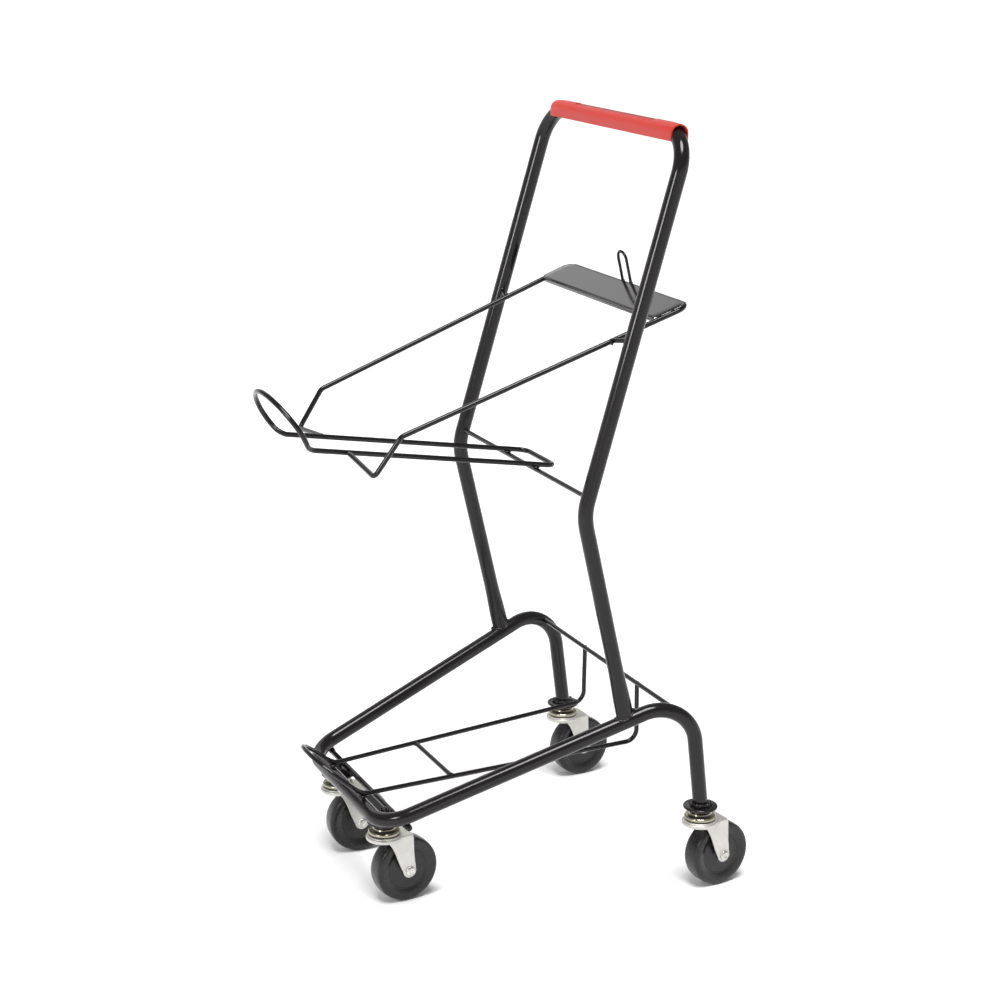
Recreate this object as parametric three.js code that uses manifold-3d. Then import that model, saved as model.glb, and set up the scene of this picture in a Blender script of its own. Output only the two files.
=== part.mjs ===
// Two-tier basket trolley: a bent tube frame on four swivel casters, an upper pair of basket runners
// under a sloping side wire with a small rear shelf, a lower wire rack, and a clip-on hand grip.
// Millimetres, +Z up, the front loops towards -Y, the trolley symmetric about x = 0 apart from how each caster is turned.
import * as THREE from "three";
import { mergeVertices } from "three/addons/utils/BufferGeometryUtils.js";
import Module from "manifold-3d";

const wasm = await Module();
wasm.setup();

// ---------------------------------------------------------------- driving dimensions
const ORIGIN_Y = 20.0; // distance from the frame's own y zero to the middle of the bounding box
const GAP = 0.3; // clearance between neighbouring pieces

const TUBE_R = 9.5; // frame tube, outside radius
const TUBE_WALL = 1.5;
const TUBE_SIDES = 14;

// handle frame: upright foot, kink and top corner
const FOOT = [186.6, 136.3, 235.6];
const KINK = [188.6, 72.5, 508.0];
const TOP = [186.6, 203.0, 951.6];
const KINK_BEND = 70;
const FOOT_CUT = 6; // height of the straight cut above the middle of the rail
const TOP_BEND = 46;

// base frame: leg end, rear corner and front corner
const LEG_END = [199.3, 237.8, 113.4];
const REAR_CORNER = [201.4, 218.9, 265.4];
const FRONT_CORNER = [131.0, -165.5, 124.6];
const REAR_BEND = 52;
const FRONT_BEND = 44;

// wires
const RUNNER_R = 3.25;
const SIDE_R = 3.2;
const RACK_R = 3.0;
const BAR_R = 3.0;
const FRONT_WIRE_R = 3.7;
const HAIRPIN_R = 1.9;

// shelf wire
const SIDE_END = [51.4, -171.8, 575.6];
const SIDE_LOW = [131.4, -172.2, 567.3];
const SIDE_HIGH = [137.0, -140.2, 614.0];
const SIDE_REAR = [160.4, 223.4, 745.4];
const SHELF_TILT = Math.atan2(745.4 - 614.0, 223.4 + 140.4);

// basket runner
const RUNNER_REAR = [42.6, 104.3, 531.5];
const RUNNER_FRONT = [44.6, -225.2, 584.9];
const LOOP_SKEW = 0.05; // the bent loop sits very slightly askew
const UPPER_LOOP_LEAN = 30.8; // degrees forward of vertical
const UPPER_LOOP = [[54.5, 8], [63.0, 22], [62.5, 35.5], [54.0, 50.5], [39.5, 63.5], [21, 72.6], [0, 76]];

// lower rack
const RACK_REAR = [77.4, 209.6, 159.4];
const RACK_TOP_Z = 239.5;
const RACK_FRONT = [54.6, -163.5, 137.6];
const LOWER_LOOP_LEAN = 49.8;
const LOWER_LOOP = [[57.5, 9], [59.5, 19.5], [56.5, 33.5], [48.5, 47.5], [36, 59.8], [19, 68], [0, 70.6]];

// shelf plate
const PLATE_T = 1.4;
const PLATE_FRONT_Y = 179.5;
const PLATE_REAR_Y = 220.6;
const PLATE_FLANGE = 7.2;

// hand grip
const GRIP_HALF = 163;
const GRIP_R = 12.0;
const GRIP_LIP = 8.9; // how far the two sides reach below the middle of the bar

// casters
const WHEEL_R = 42.4;
const WHEEL_W = 26;
const TRAIL = 27;
const FORK_W = 17.6; // outside half width of the fork
const FORK_T = 2.4;
const AXLE_R = 4;
const AXLE_Z = 42.4;
const PIN_R = 5;
const COLLAR_R = 22;
const CROWN_R = 23.2;
const FRONT_WIRE_Y = -134.2;
const FRONT_WIRE_Z = 118.8;
const CASTERS = [
  { name: "front_left", x: 83.0, y: -145.8, yaw: 6, front: true },
  { name: "front_right", x: -83.0, y: -145.8, yaw: -3, front: true },
  { name: "rear_left", x: 199.3, y: 238.0, yaw: 8, front: false },
  { name: "rear_right", x: -199.3, y: 238.0, yaw: 4, front: false },
];

// ---------------------------------------------------------------- materials
const mat = (color, roughness, metalness) => new THREE.MeshStandardMaterial({ color, roughness, metalness });
const BLACK = () => mat(0x1b1a1b, 0.28, 0.1);
const ZINC = () => mat(0xc6c4be, 0.35, 0.85);
const STEEL = () => mat(0xb4b2ac, 0.3, 0.9);
const RED = () => mat(0xd0352d, 0.42, 0.0);
const TYRE = () => mat(0x2f2d2e, 0.5, 0.0);
const HUB = () => mat(0x262526, 0.45, 0.0);
const SHEET = () => mat(0x2a2a2b, 0.3, 0.1);

const root = new THREE.Group();
root.name = "basket_trolley";

// ---------------------------------------------------------------- helpers
const V = (a) => new THREE.Vector3(a[0], a[1], a[2]);
const mirror = (a) => [-a[0], a[1], a[2]];

function solid(geometry) {
  const g = new THREE.BufferGeometry().setAttribute("position", geometry.index ? geometry.toNonIndexed().getAttribute("position") : geometry.getAttribute("position"));
  const merged = mergeVertices(g, 1e-3);
  const src = merged.index.array;
  const tri = [];
  for (let i = 0; i < src.length; i += 3) if (src[i] !== src[i + 1] && src[i + 1] !== src[i + 2] && src[i] !== src[i + 2]) tri.push(src[i], src[i + 1], src[i + 2]);
  const build = (t) => new wasm.Manifold(new wasm.Mesh({ numProp: 3, vertProperties: merged.attributes.position.array, triVerts: new Uint32Array(t) }));
  const made = build(tri);
  if (made.volume() >= 0) return made;
  const flipped = [];
  for (let i = 0; i < tri.length; i += 3) flipped.push(tri[i], tri[i + 2], tri[i + 1]);
  return build(flipped);
}

function geometryOf(m) {
  const mesh = m.getMesh();
  const n = mesh.numProp;
  const v = new Float32Array(mesh.numVert * 3);
  for (let i = 0; i < mesh.numVert; i++) v.set(mesh.vertProperties.subarray(i * n, i * n + 3), i * 3);
  const g = new THREE.BufferGeometry().setAttribute("position", new THREE.BufferAttribute(v, 3)).setIndex(new THREE.BufferAttribute(new Uint32Array(mesh.triVerts), 1));
  const flat = g.toNonIndexed();
  flat.computeVertexNormals();
  return flat;
}

function add(name, m, material) {
  const mesh = new THREE.Mesh(geometryOf(m), material);
  mesh.name = name;
  mesh.position.set(0, -ORIGIN_Y, 0);
  root.add(mesh);
  return mesh;
}

// A path through given stations, so that straight runs carry no extra rings.
class StationPath extends THREE.Curve {
  constructor(points, tangents) {
    super();
    this.points = points;
    this.tangents = tangents;
  }
  getPoint(u, target = new THREE.Vector3()) {
    const s = u * (this.points.length - 1);
    const i = Math.min(Math.floor(s + 1e-9), this.points.length - 2);
    return target.lerpVectors(this.points[i], this.points[i + 1], s - i);
  }
  getPointAt(u, target) {
    return this.getPoint(u, target);
  }
  getTangentAt(u, target = new THREE.Vector3()) {
    return target.copy(this.tangents[Math.round(u * (this.points.length - 1))]);
  }
  getTangent(u, target) {
    return this.getTangentAt(u, target);
  }
  getSpacedPoints() {
    return this.points.map((p) => p.clone());
  }
}

// Stations of a polyline whose inner corners are bent to the given radii.
function bent(points, radii, step = 15) {
  const P = points.map(V);
  const pos = [P[0].clone()];
  const tan = [P[1].clone().sub(P[0]).normalize()];
  for (let i = 1; i < P.length - 1; i++) {
    const a = P[i].clone().sub(P[i - 1]).normalize();
    const b = P[i + 1].clone().sub(P[i]).normalize();
    const turn = a.angleTo(b);
    const r = Array.isArray(radii) ? radii[i - 1] : radii;
    if (turn < 0.02 || !r) {
      pos.push(P[i].clone());
      tan.push(a.clone().add(b).normalize());
      continue;
    }
    const back = r * Math.tan(turn / 2);
    const start = P[i].clone().addScaledVector(a, -back);
    const side = b.clone().addScaledVector(a, -a.dot(b)).normalize();
    const centre = start.clone().addScaledVector(side, r);
    const n = Math.max(2, Math.ceil((turn * 180) / Math.PI / step));
    for (let k = 0; k <= n; k++) {
      const t = (turn * k) / n;
      pos.push(centre.clone().addScaledVector(side, -r * Math.cos(t)).addScaledVector(a, r * Math.sin(t)));
      tan.push(a.clone().multiplyScalar(Math.cos(t)).addScaledVector(side, Math.sin(t)));
    }
  }
  const last = P.length - 1;
  pos.push(P[last].clone());
  tan.push(P[last].clone().sub(P[last - 1]).normalize());
  return { pos, tan };
}

function circle(r, sides) {
  const s = new THREE.Shape();
  for (let i = 0; i < sides; i++) {
    const a = (2 * Math.PI * i) / sides;
    if (i) s.lineTo(r * Math.cos(a), r * Math.sin(a));
    else s.moveTo(r, 0);
  }
  s.closePath();
  return s;
}

function sweep(stations, r, sides, bore = 0) {
  const shape = circle(r, sides);
  if (bore) shape.holes.push(circle(bore, sides));
  const path = new StationPath(stations.pos, stations.tan);
  return solid(new THREE.ExtrudeGeometry(shape, { steps: stations.pos.length - 1, extrudePath: path, curveSegments: sides }));
}

const wire = (points, radii, r, sides = 8, step = 24) => sweep(bent(points, radii, step), r, sides);

// A straight round bar between two points.
function bar(a, b, r, sides = 8) {
  return wire([a, b], 0, r, sides);
}

// A turned piece about the +Z axis through (x, y); profile is [radius, z] pairs from the bottom up, on the outside first.
function turned(profile, x, y, sides = 24) {
  const g = new THREE.LatheGeometry(profile.map(([a, b]) => new THREE.Vector2(a, b)), sides);
  g.rotateX(Math.PI / 2);
  g.translate(x, y, 0);
  return solid(g);
}

// A turned piece about the local +X axis, in the caster's own frame.
function turnedX(profile, sides = 24) {
  const g = new THREE.LatheGeometry(profile.map(([a, b]) => new THREE.Vector2(a, b)), sides);
  g.rotateZ(-Math.PI / 2);
  return solid(g);
}

// A flat shape pulled straight along +Z.
function slab(points, depth, holes = []) {
  const s = new THREE.Shape(points.map(([a, b]) => new THREE.Vector2(a, b)));
  for (const h of holes) s.holes.push(h);
  return new THREE.ExtrudeGeometry(s, { depth, bevelEnabled: false, curveSegments: 12 });
}

const moved = (m, matrix) => m.transform(matrix.elements);

// ---------------------------------------------------------------- frame tubes
const base = bent(
  [LEG_END, REAR_CORNER, FRONT_CORNER, mirror(FRONT_CORNER), mirror(REAR_CORNER), mirror(LEG_END)],
  [REAR_BEND, FRONT_BEND, FRONT_BEND, REAR_BEND],
  17,
);
const baseTube = sweep(base, TUBE_R, TUBE_SIDES, TUBE_R - TUBE_WALL);
add("base_frame", baseTube, BLACK());

const handle = bent([FOOT, KINK, TOP, mirror(TOP), mirror(KINK), mirror(FOOT)], [KINK_BEND, TOP_BEND, TOP_BEND, KINK_BEND], 17);
let handleTube = sweep(handle, TUBE_R, TUBE_SIDES, TUBE_R - TUBE_WALL);
for (const s of [1, -1]) {
  // the foot is coped to sit on the rail
  const a = [s * REAR_CORNER[0], REAR_CORNER[1], REAR_CORNER[2]];
  const b = [s * FRONT_CORNER[0], FRONT_CORNER[1], FRONT_CORNER[2]];
  handleTube = handleTube.subtract(bar(a, b, TUBE_R + GAP + 0.2, TUBE_SIDES));
  // its two sides are cut straight, a little below the top of the rail
  const flat = new THREE.BoxGeometry(40, 60, 24);
  flat.translate(0, 0, FOOT_CUT - 12);
  flat.rotateX(Math.atan2(a[2] - b[2], a[1] - b[1]));
  flat.translate(s * FOOT[0], FOOT[1], FOOT[2]);
  handleTube = handleTube.subtract(solid(flat));
}
add("handle_frame", handleTube, BLACK());

// ---------------------------------------------------------------- hand grip, an arched section pushed down over the top bar
{
  const ri = TUBE_R + GAP;
  const outer = [[GRIP_R, -GRIP_LIP + 0.8]];
  const inner = [[ri, -GRIP_LIP + 0.4]];
  const n = 12;
  for (let i = 0; i <= n; i++) {
    const a = (Math.PI * i) / n;
    outer.push([GRIP_R * Math.cos(a), GRIP_R * Math.sin(a)]);
    inner.push([ri * Math.cos(a), ri * Math.sin(a)]);
  }
  outer.push([-GRIP_R, -GRIP_LIP + 0.8], [-GRIP_R + 1, -GRIP_LIP]);
  inner.push([-ri, -GRIP_LIP + 0.4]);
  const g = slab([...outer, ...inner.reverse()], 2 * GRIP_HALF);
  const m = new THREE.Matrix4().makeBasis(new THREE.Vector3(0, 1, 0), new THREE.Vector3(0, 0, 1), new THREE.Vector3(1, 0, 0));
  g.applyMatrix4(m);
  g.translate(-GRIP_HALF, TOP[1], TOP[2]);
  let grip = solid(g);
  // the flat name panel on top is sunk a little
  const panel = new THREE.BoxGeometry(212, 15, 2.4);
  panel.rotateX(-0.28);
  panel.translate(0, TOP[1] + 3.4, TOP[2] + 11.95);
  grip = grip.subtract(solid(panel));
  // its ends ride over the start of the two bends
  grip = grip.subtract(sweep(handle, TUBE_R + GAP, TUBE_SIDES));
  add("hand_grip", grip, RED());
}

// ---------------------------------------------------------------- upper wires
add("shelf_wire", wire([SIDE_END, SIDE_LOW, SIDE_HIGH, SIDE_REAR, mirror(SIDE_REAR), mirror(SIDE_HIGH), mirror(SIDE_LOW), mirror(SIDE_END)], [7.5, 13, 15, 15, 13, 7.5], SIDE_R, 8, 24), BLACK());

function loopPoints(front, lean, outline) {
  const a = (lean * Math.PI) / 180;
  return outline.map(([x, s]) => [x, front[1] - s * Math.sin(a), front[2] + s * Math.cos(a)]);
}

{
  const loop = loopPoints(RUNNER_FRONT, UPPER_LOOP_LEAN, UPPER_LOOP);
  const half = [[GAP, RUNNER_REAR[1], RUNNER_REAR[2]], RUNNER_REAR, RUNNER_FRONT, ...loop];
  const whole = [...half, ...half.slice(0, -1).reverse().map(mirror)].map(([x, y, z]) => [x, y < -200 ? y + LOOP_SKEW * x : y, z]);
  const radii = [12, 12, ...loop.map(() => 20)];
  add("runner_wire", wire(whole, [...radii.slice(0, 2), ...loop.slice(0, -1).map(() => 14), 14, ...loop.slice(0, -1).map(() => 14), 12, 12], RUNNER_R, 8, 30), BLACK());
}

const MID_Y = 77.6;
const MID_Z = RUNNER_REAR[2] + ((RUNNER_FRONT[2] - RUNNER_REAR[2]) * (MID_Y - RUNNER_REAR[1])) / (RUNNER_FRONT[1] - RUNNER_REAR[1]) - RUNNER_R - BAR_R - GAP - 0.1;
add("mid_crossbar", bar([-(KINK[0] - TUBE_R - GAP - 0.2), MID_Y, MID_Z], [KINK[0] - TUBE_R - GAP - 0.2, MID_Y, MID_Z], BAR_R), BLACK());

for (const [name, s] of [["left", 1], ["right", -1]]) {
  // short stub from the shelf wire out to the upright
  const a = V(SIDE_HIGH).lerp(V(SIDE_REAR), (124.5 - SIDE_HIGH[1]) / (SIDE_REAR[1] - SIDE_HIGH[1]));
  const up = V(KINK).lerp(V(TOP), (715 - KINK[2]) / (TOP[2] - KINK[2]));
  const d = up.clone().sub(a).normalize();
  const from = a.clone().addScaledVector(d, SIDE_R + GAP + 1.0);
  const to = up.clone().addScaledVector(d, -(TUBE_R + GAP + 0.5));
  add("shelf_stub_" + name, bar([s * from.x, from.y, from.z], [s * to.x, to.y, to.z], BAR_R, 8), BLACK());
}

// ---------------------------------------------------------------- shelf plate and hairpin
{
  // profile across the plate (u along the slope, w up from the sheet), rolled down at the front edge
  const r = 3;
  const u0 = 0;
  const u1 = (PLATE_REAR_Y - PLATE_FRONT_Y) / Math.cos(SHELF_TILT);
  const out = [];
  const inn = [];
  out.push([u1, 0]);
  inn.push([u1, -PLATE_T]);
  for (let k = 0; k <= 4; k++) {
    const a = Math.PI / 2 + (k / 4) * (Math.PI / 2);
    out.push([u0 + r + r * Math.cos(a), -r + r * Math.sin(a)]);
    inn.push([u0 + r + (r - PLATE_T) * Math.cos(a), -r + (r - PLATE_T) * Math.sin(a)]);
  }
  out.push([u0, -PLATE_FLANGE]);
  inn.push([u0 + PLATE_T, -PLATE_FLANGE]);
  const halfW = 156;
  const g = slab([...out, ...inn.reverse()], 2 * halfW + 8);
  g.translate(0, 0, -halfW - 4);
  // u -> slope direction, w -> sheet normal, depth -> x
  const su = new THREE.Vector3(0, Math.cos(SHELF_TILT), Math.sin(SHELF_TILT));
  const nw = new THREE.Vector3(0, -Math.sin(SHELF_TILT), Math.cos(SHELF_TILT));
  const m = new THREE.Matrix4().makeBasis(su, nw, new THREE.Vector3(1, 0, 0));
  const z0 = SIDE_HIGH[2] + ((SIDE_REAR[2] - SIDE_HIGH[2]) * (PLATE_FRONT_Y - SIDE_HIGH[1])) / (SIDE_REAR[1] - SIDE_HIGH[1]);
  const lift = SIDE_R + GAP + PLATE_T; // the sheet lies on the wires
  m.setPosition(0, PLATE_FRONT_Y - lift * Math.sin(SHELF_TILT), z0 + lift * Math.cos(SHELF_TILT));
  g.applyMatrix4(m);
  let plate = solid(g);
  // ends trimmed to the taper of the wires, the rear corners rounded
  const cut = [];
  const rr = 13;
  const xf = 157.4;
  const xr = 159.6;
  cut.push([-xf, PLATE_FRONT_Y - 8], [xf, PLATE_FRONT_Y - 8]);
  for (let k = 0; k <= 5; k++) {
    const a = (k / 5) * (Math.PI / 2);
    cut.push([xr - rr + rr * Math.cos(a), PLATE_REAR_Y - rr + rr * Math.sin(a)]);
  }
  for (let k = 5; k >= 0; k--) {
    const a = (k / 5) * (Math.PI / 2);
    cut.push([-(xr - rr + rr * Math.cos(a)), PLATE_REAR_Y - rr + rr * Math.sin(a)]);
  }
  const block = slab(cut, 80);
  block.translate(0, 0, 700);
  plate = plate.intersect(solid(block));
  // the rolled front edge hangs between the two wires
  for (const s of [1, -1]) {
    const notch = new THREE.BoxGeometry(20, 14, 14);
    notch.translate(s * (153.2 + 10), 0, 0);
    notch.applyMatrix4(new THREE.Matrix4().makeTranslation(0, 5, -7 - PLATE_T));
    notch.applyMatrix4(new THREE.Matrix4().makeBasis(new THREE.Vector3(1, 0, 0), su, nw));
    notch.translate(0, PLATE_FRONT_Y - lift * Math.sin(SHELF_TILT), z0 + lift * Math.cos(SHELF_TILT));
    plate = plate.subtract(solid(notch));
  }
  add("shelf_plate", plate, SHEET());

  const lean = (13 * Math.PI) / 180;
  const up = (h) => [0, SIDE_REAR[1] - h * Math.sin(lean), SIDE_REAR[2] + h * Math.cos(lean)];
  const a = up(SIDE_R + GAP + 0.3);
  const t = up(43.5);
  const w = 11;
  add("shelf_hairpin", wire([[w, a[1], a[2]], [w, t[1], t[2]], [-w, t[1], t[2]], [-w, a[1], a[2]]], w - 0.6, HAIRPIN_R, 8, 30), BLACK());
}

// ---------------------------------------------------------------- lower rack
{
  const loop = loopPoints(RACK_FRONT, LOWER_LOOP_LEAN, LOWER_LOOP);
  const half = [[RACK_REAR[0] - 2, RACK_REAR[1], RACK_TOP_Z], [RACK_REAR[0], RACK_REAR[1], RACK_REAR[2]], RACK_FRONT, ...loop];
  const whole = [...half, ...half.slice(0, -1).reverse().map(mirror)];
  const bends = [16, 14, ...loop.slice(0, -1).map(() => 14), 14, ...loop.slice(0, -1).map(() => 14), 14, 16];
  add("rack_wire", wire(whole, bends, RACK_R, 8, 30), BLACK());
}
const REAR_WIRE_Y = 203.2;
const REAR_WIRE_Z = 242.0;
add("rear_cross_wire", bar([-186.6, REAR_WIRE_Y, REAR_WIRE_Z], [186.6, REAR_WIRE_Y, REAR_WIRE_Z], BAR_R), BLACK());
{
  const y = -45;
  const f = (y - RACK_REAR[1]) / (RACK_FRONT[1] - RACK_REAR[1]);
  const x = RACK_REAR[0] + (RACK_FRONT[0] - RACK_REAR[0]) * f;
  const z = RACK_REAR[2] + (RACK_FRONT[2] - RACK_REAR[2]) * f;
  add("rack_cross_wire", bar([-(x - RACK_R - GAP - 0.1), y, z], [x - RACK_R - GAP - 0.1, y, z], RACK_R), BLACK());
}
{
  // wire behind the front tube, its two ends turned up a little under the rails
  const y = FRONT_WIRE_Y;
  const z = FRONT_WIRE_Z;
  const half = [[138.5, y, z + 1.4], [129, y, z]];
  add("front_cross_wire", wire([half[0], half[1], mirror(half[1]), mirror(half[0])], 10, FRONT_WIRE_R, 12, 15), BLACK());
}

// ---------------------------------------------------------------- casters
for (const c of CASTERS) {
  const n = c.name;
  // collar welded to the frame above each caster
  const collar = [
    [PIN_R + 0.1 + GAP, 103.2], [13.6, 103.2], [14.2, 104.0], [19.6, 107.8], [COLLAR_R, 108.8], [COLLAR_R, 110.8], [COLLAR_R - 1.2, 111.8], [12.5, 112.8],
  ];
  if (c.front) collar.push([PIN_R + 0.1 + GAP, 112.8], [PIN_R + 0.1 + GAP, 103.2]);
  else collar.push([6.6, 112.6], [6.0, 124], [0, 124], [0, 110.6], [PIN_R + 0.1 + GAP, 110.6], [PIN_R + 0.1 + GAP, 103.2]);
  let collarSolid = turned(collar, c.x, c.y, 20);
  if (!c.front) {
    // room for the end of the leg, which stands a few degrees off the stem
    const s = Math.sign(c.x);
    const a = V([s * LEG_END[0], LEG_END[1], LEG_END[2]]);
    const d = V([s * REAR_CORNER[0], REAR_CORNER[1], REAR_CORNER[2]]).sub(a).normalize();
    const from = a.clone().addScaledVector(d, -3 * GAP);
    const to = a.clone().addScaledVector(d, 30);
    collarSolid = collarSolid.subtract(sweep(bent([from.toArray(), to.toArray()], 0), TUBE_R + GAP, TUBE_SIDES, TUBE_R - TUBE_WALL - GAP));
  }
  add(n + "_collar", collarSolid, BLACK());

  // king pin with its head under the fork crown; the front ones run on up between the front tube and its wire
  const pin = [[0, 84.6], [7.0, 84.6], [7.6, 85.2], [7.6, 88.6], [PIN_R, 88.6]];
  if (c.front) pin.push([PIN_R, 126.0], [3.6, 127.8], [0, 128.4]);
  else pin.push([PIN_R, 109.4], [4.2, 110.2], [0, 110.2]);
  add(n + "_kingpin", turned(pin, c.x, c.y, 14), STEEL());

  // upper ball race, fixed under the collar
  const race = [[PIN_R + GAP, 94.4], [19.4, 94.4], [20.4, 95.2], [20.4, 97.8], [18.8, 99.2], [14.4, 100.6], [13.8, 102.8], [PIN_R + GAP, 102.8], [PIN_R + GAP, 94.4]];
  add(n + "_upper_race", turned(race, c.x, c.y, 20), ZINC());

  // fork, built with the swivel axis at the origin and the wheel trailing towards +Y
  const place = new THREE.Matrix4().makeTranslation(c.x, c.y, 0).multiply(new THREE.Matrix4().makeRotationZ((c.yaw * Math.PI) / 180));
  const plan = [];
  const endT = 33;
  for (let k = 0; k <= 11; k++) {
    const a = Math.PI - 0.709 + ((Math.PI + 2 * 0.709) * k) / 11; // round front, then straight back to the rear corners
    plan.push([CROWN_R * Math.cos(a), CROWN_R * Math.sin(a)]);
  }
  plan.push([FORK_W, endT - 5], [FORK_W - 1.5, endT - 1.6], [FORK_W - 5, endT], [-(FORK_W - 5), endT], [-(FORK_W - 1.5), endT - 1.6], [-FORK_W, endT - 5]);
  const top = slab(plan, 2.4);
  top.translate(0, 0, 89.2);
  let fork = solid(top);
  // raised race ring
  fork = fork.add(turned([[0, 91], [21.4, 91], [21.4, 92.4], [20.6, 93.1], [12, 93.1], [11, 92.2], [0, 92.2]], 0, 0, 22));
  // skirt round the front of the crown
  const skirt = turned([[CROWN_R - 2.4, 86.8], [CROWN_R, 86.8], [CROWN_R, 90.8], [CROWN_R - 2.4, 90.8], [CROWN_R - 2.4, 86.8]], 0, 0, 22);
  const keep = new THREE.BoxGeometry(60, 40, 20);
  keep.translate(0, -5.5, 89);
  fork = fork.add(skirt.intersect(solid(keep)));
  // legs
  for (const s of [1, -1]) {
    const leg = new THREE.Shape();
    leg.moveTo(-4, 90.6);
    leg.lineTo(-4, 86.8);
    leg.quadraticCurveTo(2.6, 80.5, 7.6, 67);
    leg.lineTo(12.2, 54);
    leg.lineTo(TRAIL - 9.2, AXLE_Z - 1.6);
    leg.absarc(TRAIL - 0.3, AXLE_Z, 9.0, Math.PI + 0.2, 2 * Math.PI, false);
    leg.lineTo(endT - 0.4 + 1.2, 62);
    leg.lineTo(endT - 0.4, 86);
    leg.quadraticCurveTo(endT - 0.6, 89.6, endT - 5, 90.6);
    leg.closePath();
    const hole = new THREE.Path();
    hole.absarc(TRAIL, AXLE_Z, AXLE_R + GAP, 0, 2 * Math.PI, true);
    leg.holes.push(hole);
    const g = new THREE.ExtrudeGeometry(leg, { depth: FORK_T, bevelEnabled: false, curveSegments: 5 });
    // shape x -> +Y (trail), shape y -> +Z, depth -> +X
    g.applyMatrix4(new THREE.Matrix4().makeBasis(new THREE.Vector3(0, 1, 0), new THREE.Vector3(0, 0, 1), new THREE.Vector3(1, 0, 0)));
    g.translate(s > 0 ? FORK_W - FORK_T : -FORK_W, 0, 0);
    fork = fork.add(solid(g));
  }
  fork = fork.subtract(turned([[0, 70], [PIN_R + 0.15, 70], [PIN_R + 0.15, 100], [0, 100]], 0, 0, 14));
  add(n + "_fork", moved(fork, place), ZINC());

  const atWheel = place.clone().multiply(new THREE.Matrix4().makeTranslation(0, TRAIL, AXLE_Z));
  // axle bolt with a low domed head, and its nut
  const nutIn = FORK_W + GAP;
  const axle = [[0, -(FORK_W + 3.4)], [AXLE_R - 0.6, -(FORK_W + 3.4)], [AXLE_R, -(FORK_W + 2.8)], [AXLE_R, FORK_W + GAP], [6.3, FORK_W + GAP], [6.3, FORK_W + 1.6], [4.6, FORK_W + 3.0], [0, FORK_W + 3.4]];
  add(n + "_axle", moved(turnedX(axle, 14), atWheel), STEEL());
  add(n + "_axle_nut", moved(solid(nutGeometry()), atWheel), STEEL());
  function nutGeometry() {
    const s = new THREE.Shape();
    for (let i = 0; i < 6; i++) {
      const a = (Math.PI / 3) * i;
      if (i) s.lineTo(7.2 * Math.cos(a), 7.2 * Math.sin(a));
      else s.moveTo(7.2, 0);
    }
    s.closePath();
    s.holes.push(circle(AXLE_R + 0.3, 14));
    const g = new THREE.ExtrudeGeometry(s, { depth: 2.8, bevelEnabled: false });
    g.rotateY(-Math.PI / 2);
    g.translate(-nutIn, 0, 0);
    return g;
  }

  // wheel: hub core and moulded tyre
  const w = WHEEL_W / 2;
  const hub = [
    [AXLE_R + 0.1, -14.6], [8.6, -14.6], [9.4, -10.8], [25.7, -9.4], [25.7, 9.4], [9.4, 10.8], [8.6, 14.6], [AXLE_R + 0.1, 14.6], [AXLE_R + 0.1, -14.6],
  ];
  add(n + "_wheel_hub", moved(turnedX(hub, 18), atWheel), HUB());
  const tyre = [
    [26.1, -9.6], [34.5, -w], [39, -w + 1.6], [41.6, -w + 5.4], [WHEEL_R, 0], [41.6, w - 5.4], [39, w - 1.6], [34.5, w], [26.1, 9.6], [26.1, -9.6],
  ];
  add(n + "_tyre", moved(turnedX(tyre, 28), atWheel), TYRE());
}

export default root;
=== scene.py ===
import math
import bpy
import bmesh
from mathutils import Vector, Matrix, noise


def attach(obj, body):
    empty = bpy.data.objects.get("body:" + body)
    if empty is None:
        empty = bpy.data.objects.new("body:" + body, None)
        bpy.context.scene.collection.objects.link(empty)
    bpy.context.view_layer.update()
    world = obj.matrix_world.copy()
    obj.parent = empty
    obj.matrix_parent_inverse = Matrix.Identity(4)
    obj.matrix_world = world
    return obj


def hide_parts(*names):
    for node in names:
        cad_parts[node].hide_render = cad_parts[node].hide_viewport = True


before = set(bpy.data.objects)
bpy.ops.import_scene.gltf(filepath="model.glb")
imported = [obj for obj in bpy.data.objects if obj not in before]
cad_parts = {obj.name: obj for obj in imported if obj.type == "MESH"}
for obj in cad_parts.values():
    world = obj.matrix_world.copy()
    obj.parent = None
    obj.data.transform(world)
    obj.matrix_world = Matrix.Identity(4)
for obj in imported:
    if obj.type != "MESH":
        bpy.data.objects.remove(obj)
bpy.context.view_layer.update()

# ------------------------------------------------------------------ dimensions, millimetres
ORIGIN_Y = 20.0
TUBE_R = 9.5
FOOT = (186.6, 136.3, 235.6)
KINK = (188.6, 72.5, 508.0)
TOP = (186.6, 203.0, 951.6)
KINK_BEND = 70
TOP_BEND = 46
LEG_END = (199.3, 237.8, 113.4)
REAR_CORNER = (201.4, 218.9, 265.4)
FRONT_CORNER = (131.0, -165.5, 124.6)
REAR_BEND = 52
FRONT_BEND = 44
RUNNER_R = 3.25
SIDE_R = 3.2
RACK_R = 3.0
BAR_R = 3.0
FRONT_WIRE_R = 3.7
HAIRPIN_R = 1.9
SIDE_END = (51.4, -171.8, 575.6)
SIDE_LOW = (131.4, -172.2, 567.3)
SIDE_HIGH = (137.0, -140.2, 614.0)
SIDE_REAR = (160.4, 223.4, 745.4)
TILT = math.atan2(745.4 - 614.0, 223.4 + 140.4)
RUNNER_REAR = (42.6, 104.3, 531.5)
RUNNER_FRONT = (44.6, -225.2, 584.9)
LOOP_SKEW = 0.05
UPPER_LEAN = 30.8
UPPER_LOOP = [(54.5, 8), (63.0, 22), (62.5, 35.5), (54.0, 50.5), (39.5, 63.5), (21, 72.6), (0, 76)]
RACK_REAR = (77.4, 209.6, 159.4)
RACK_TOP_Z = 239.5
RACK_FRONT = (54.6, -163.5, 137.6)
LOWER_LEAN = 49.8
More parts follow.
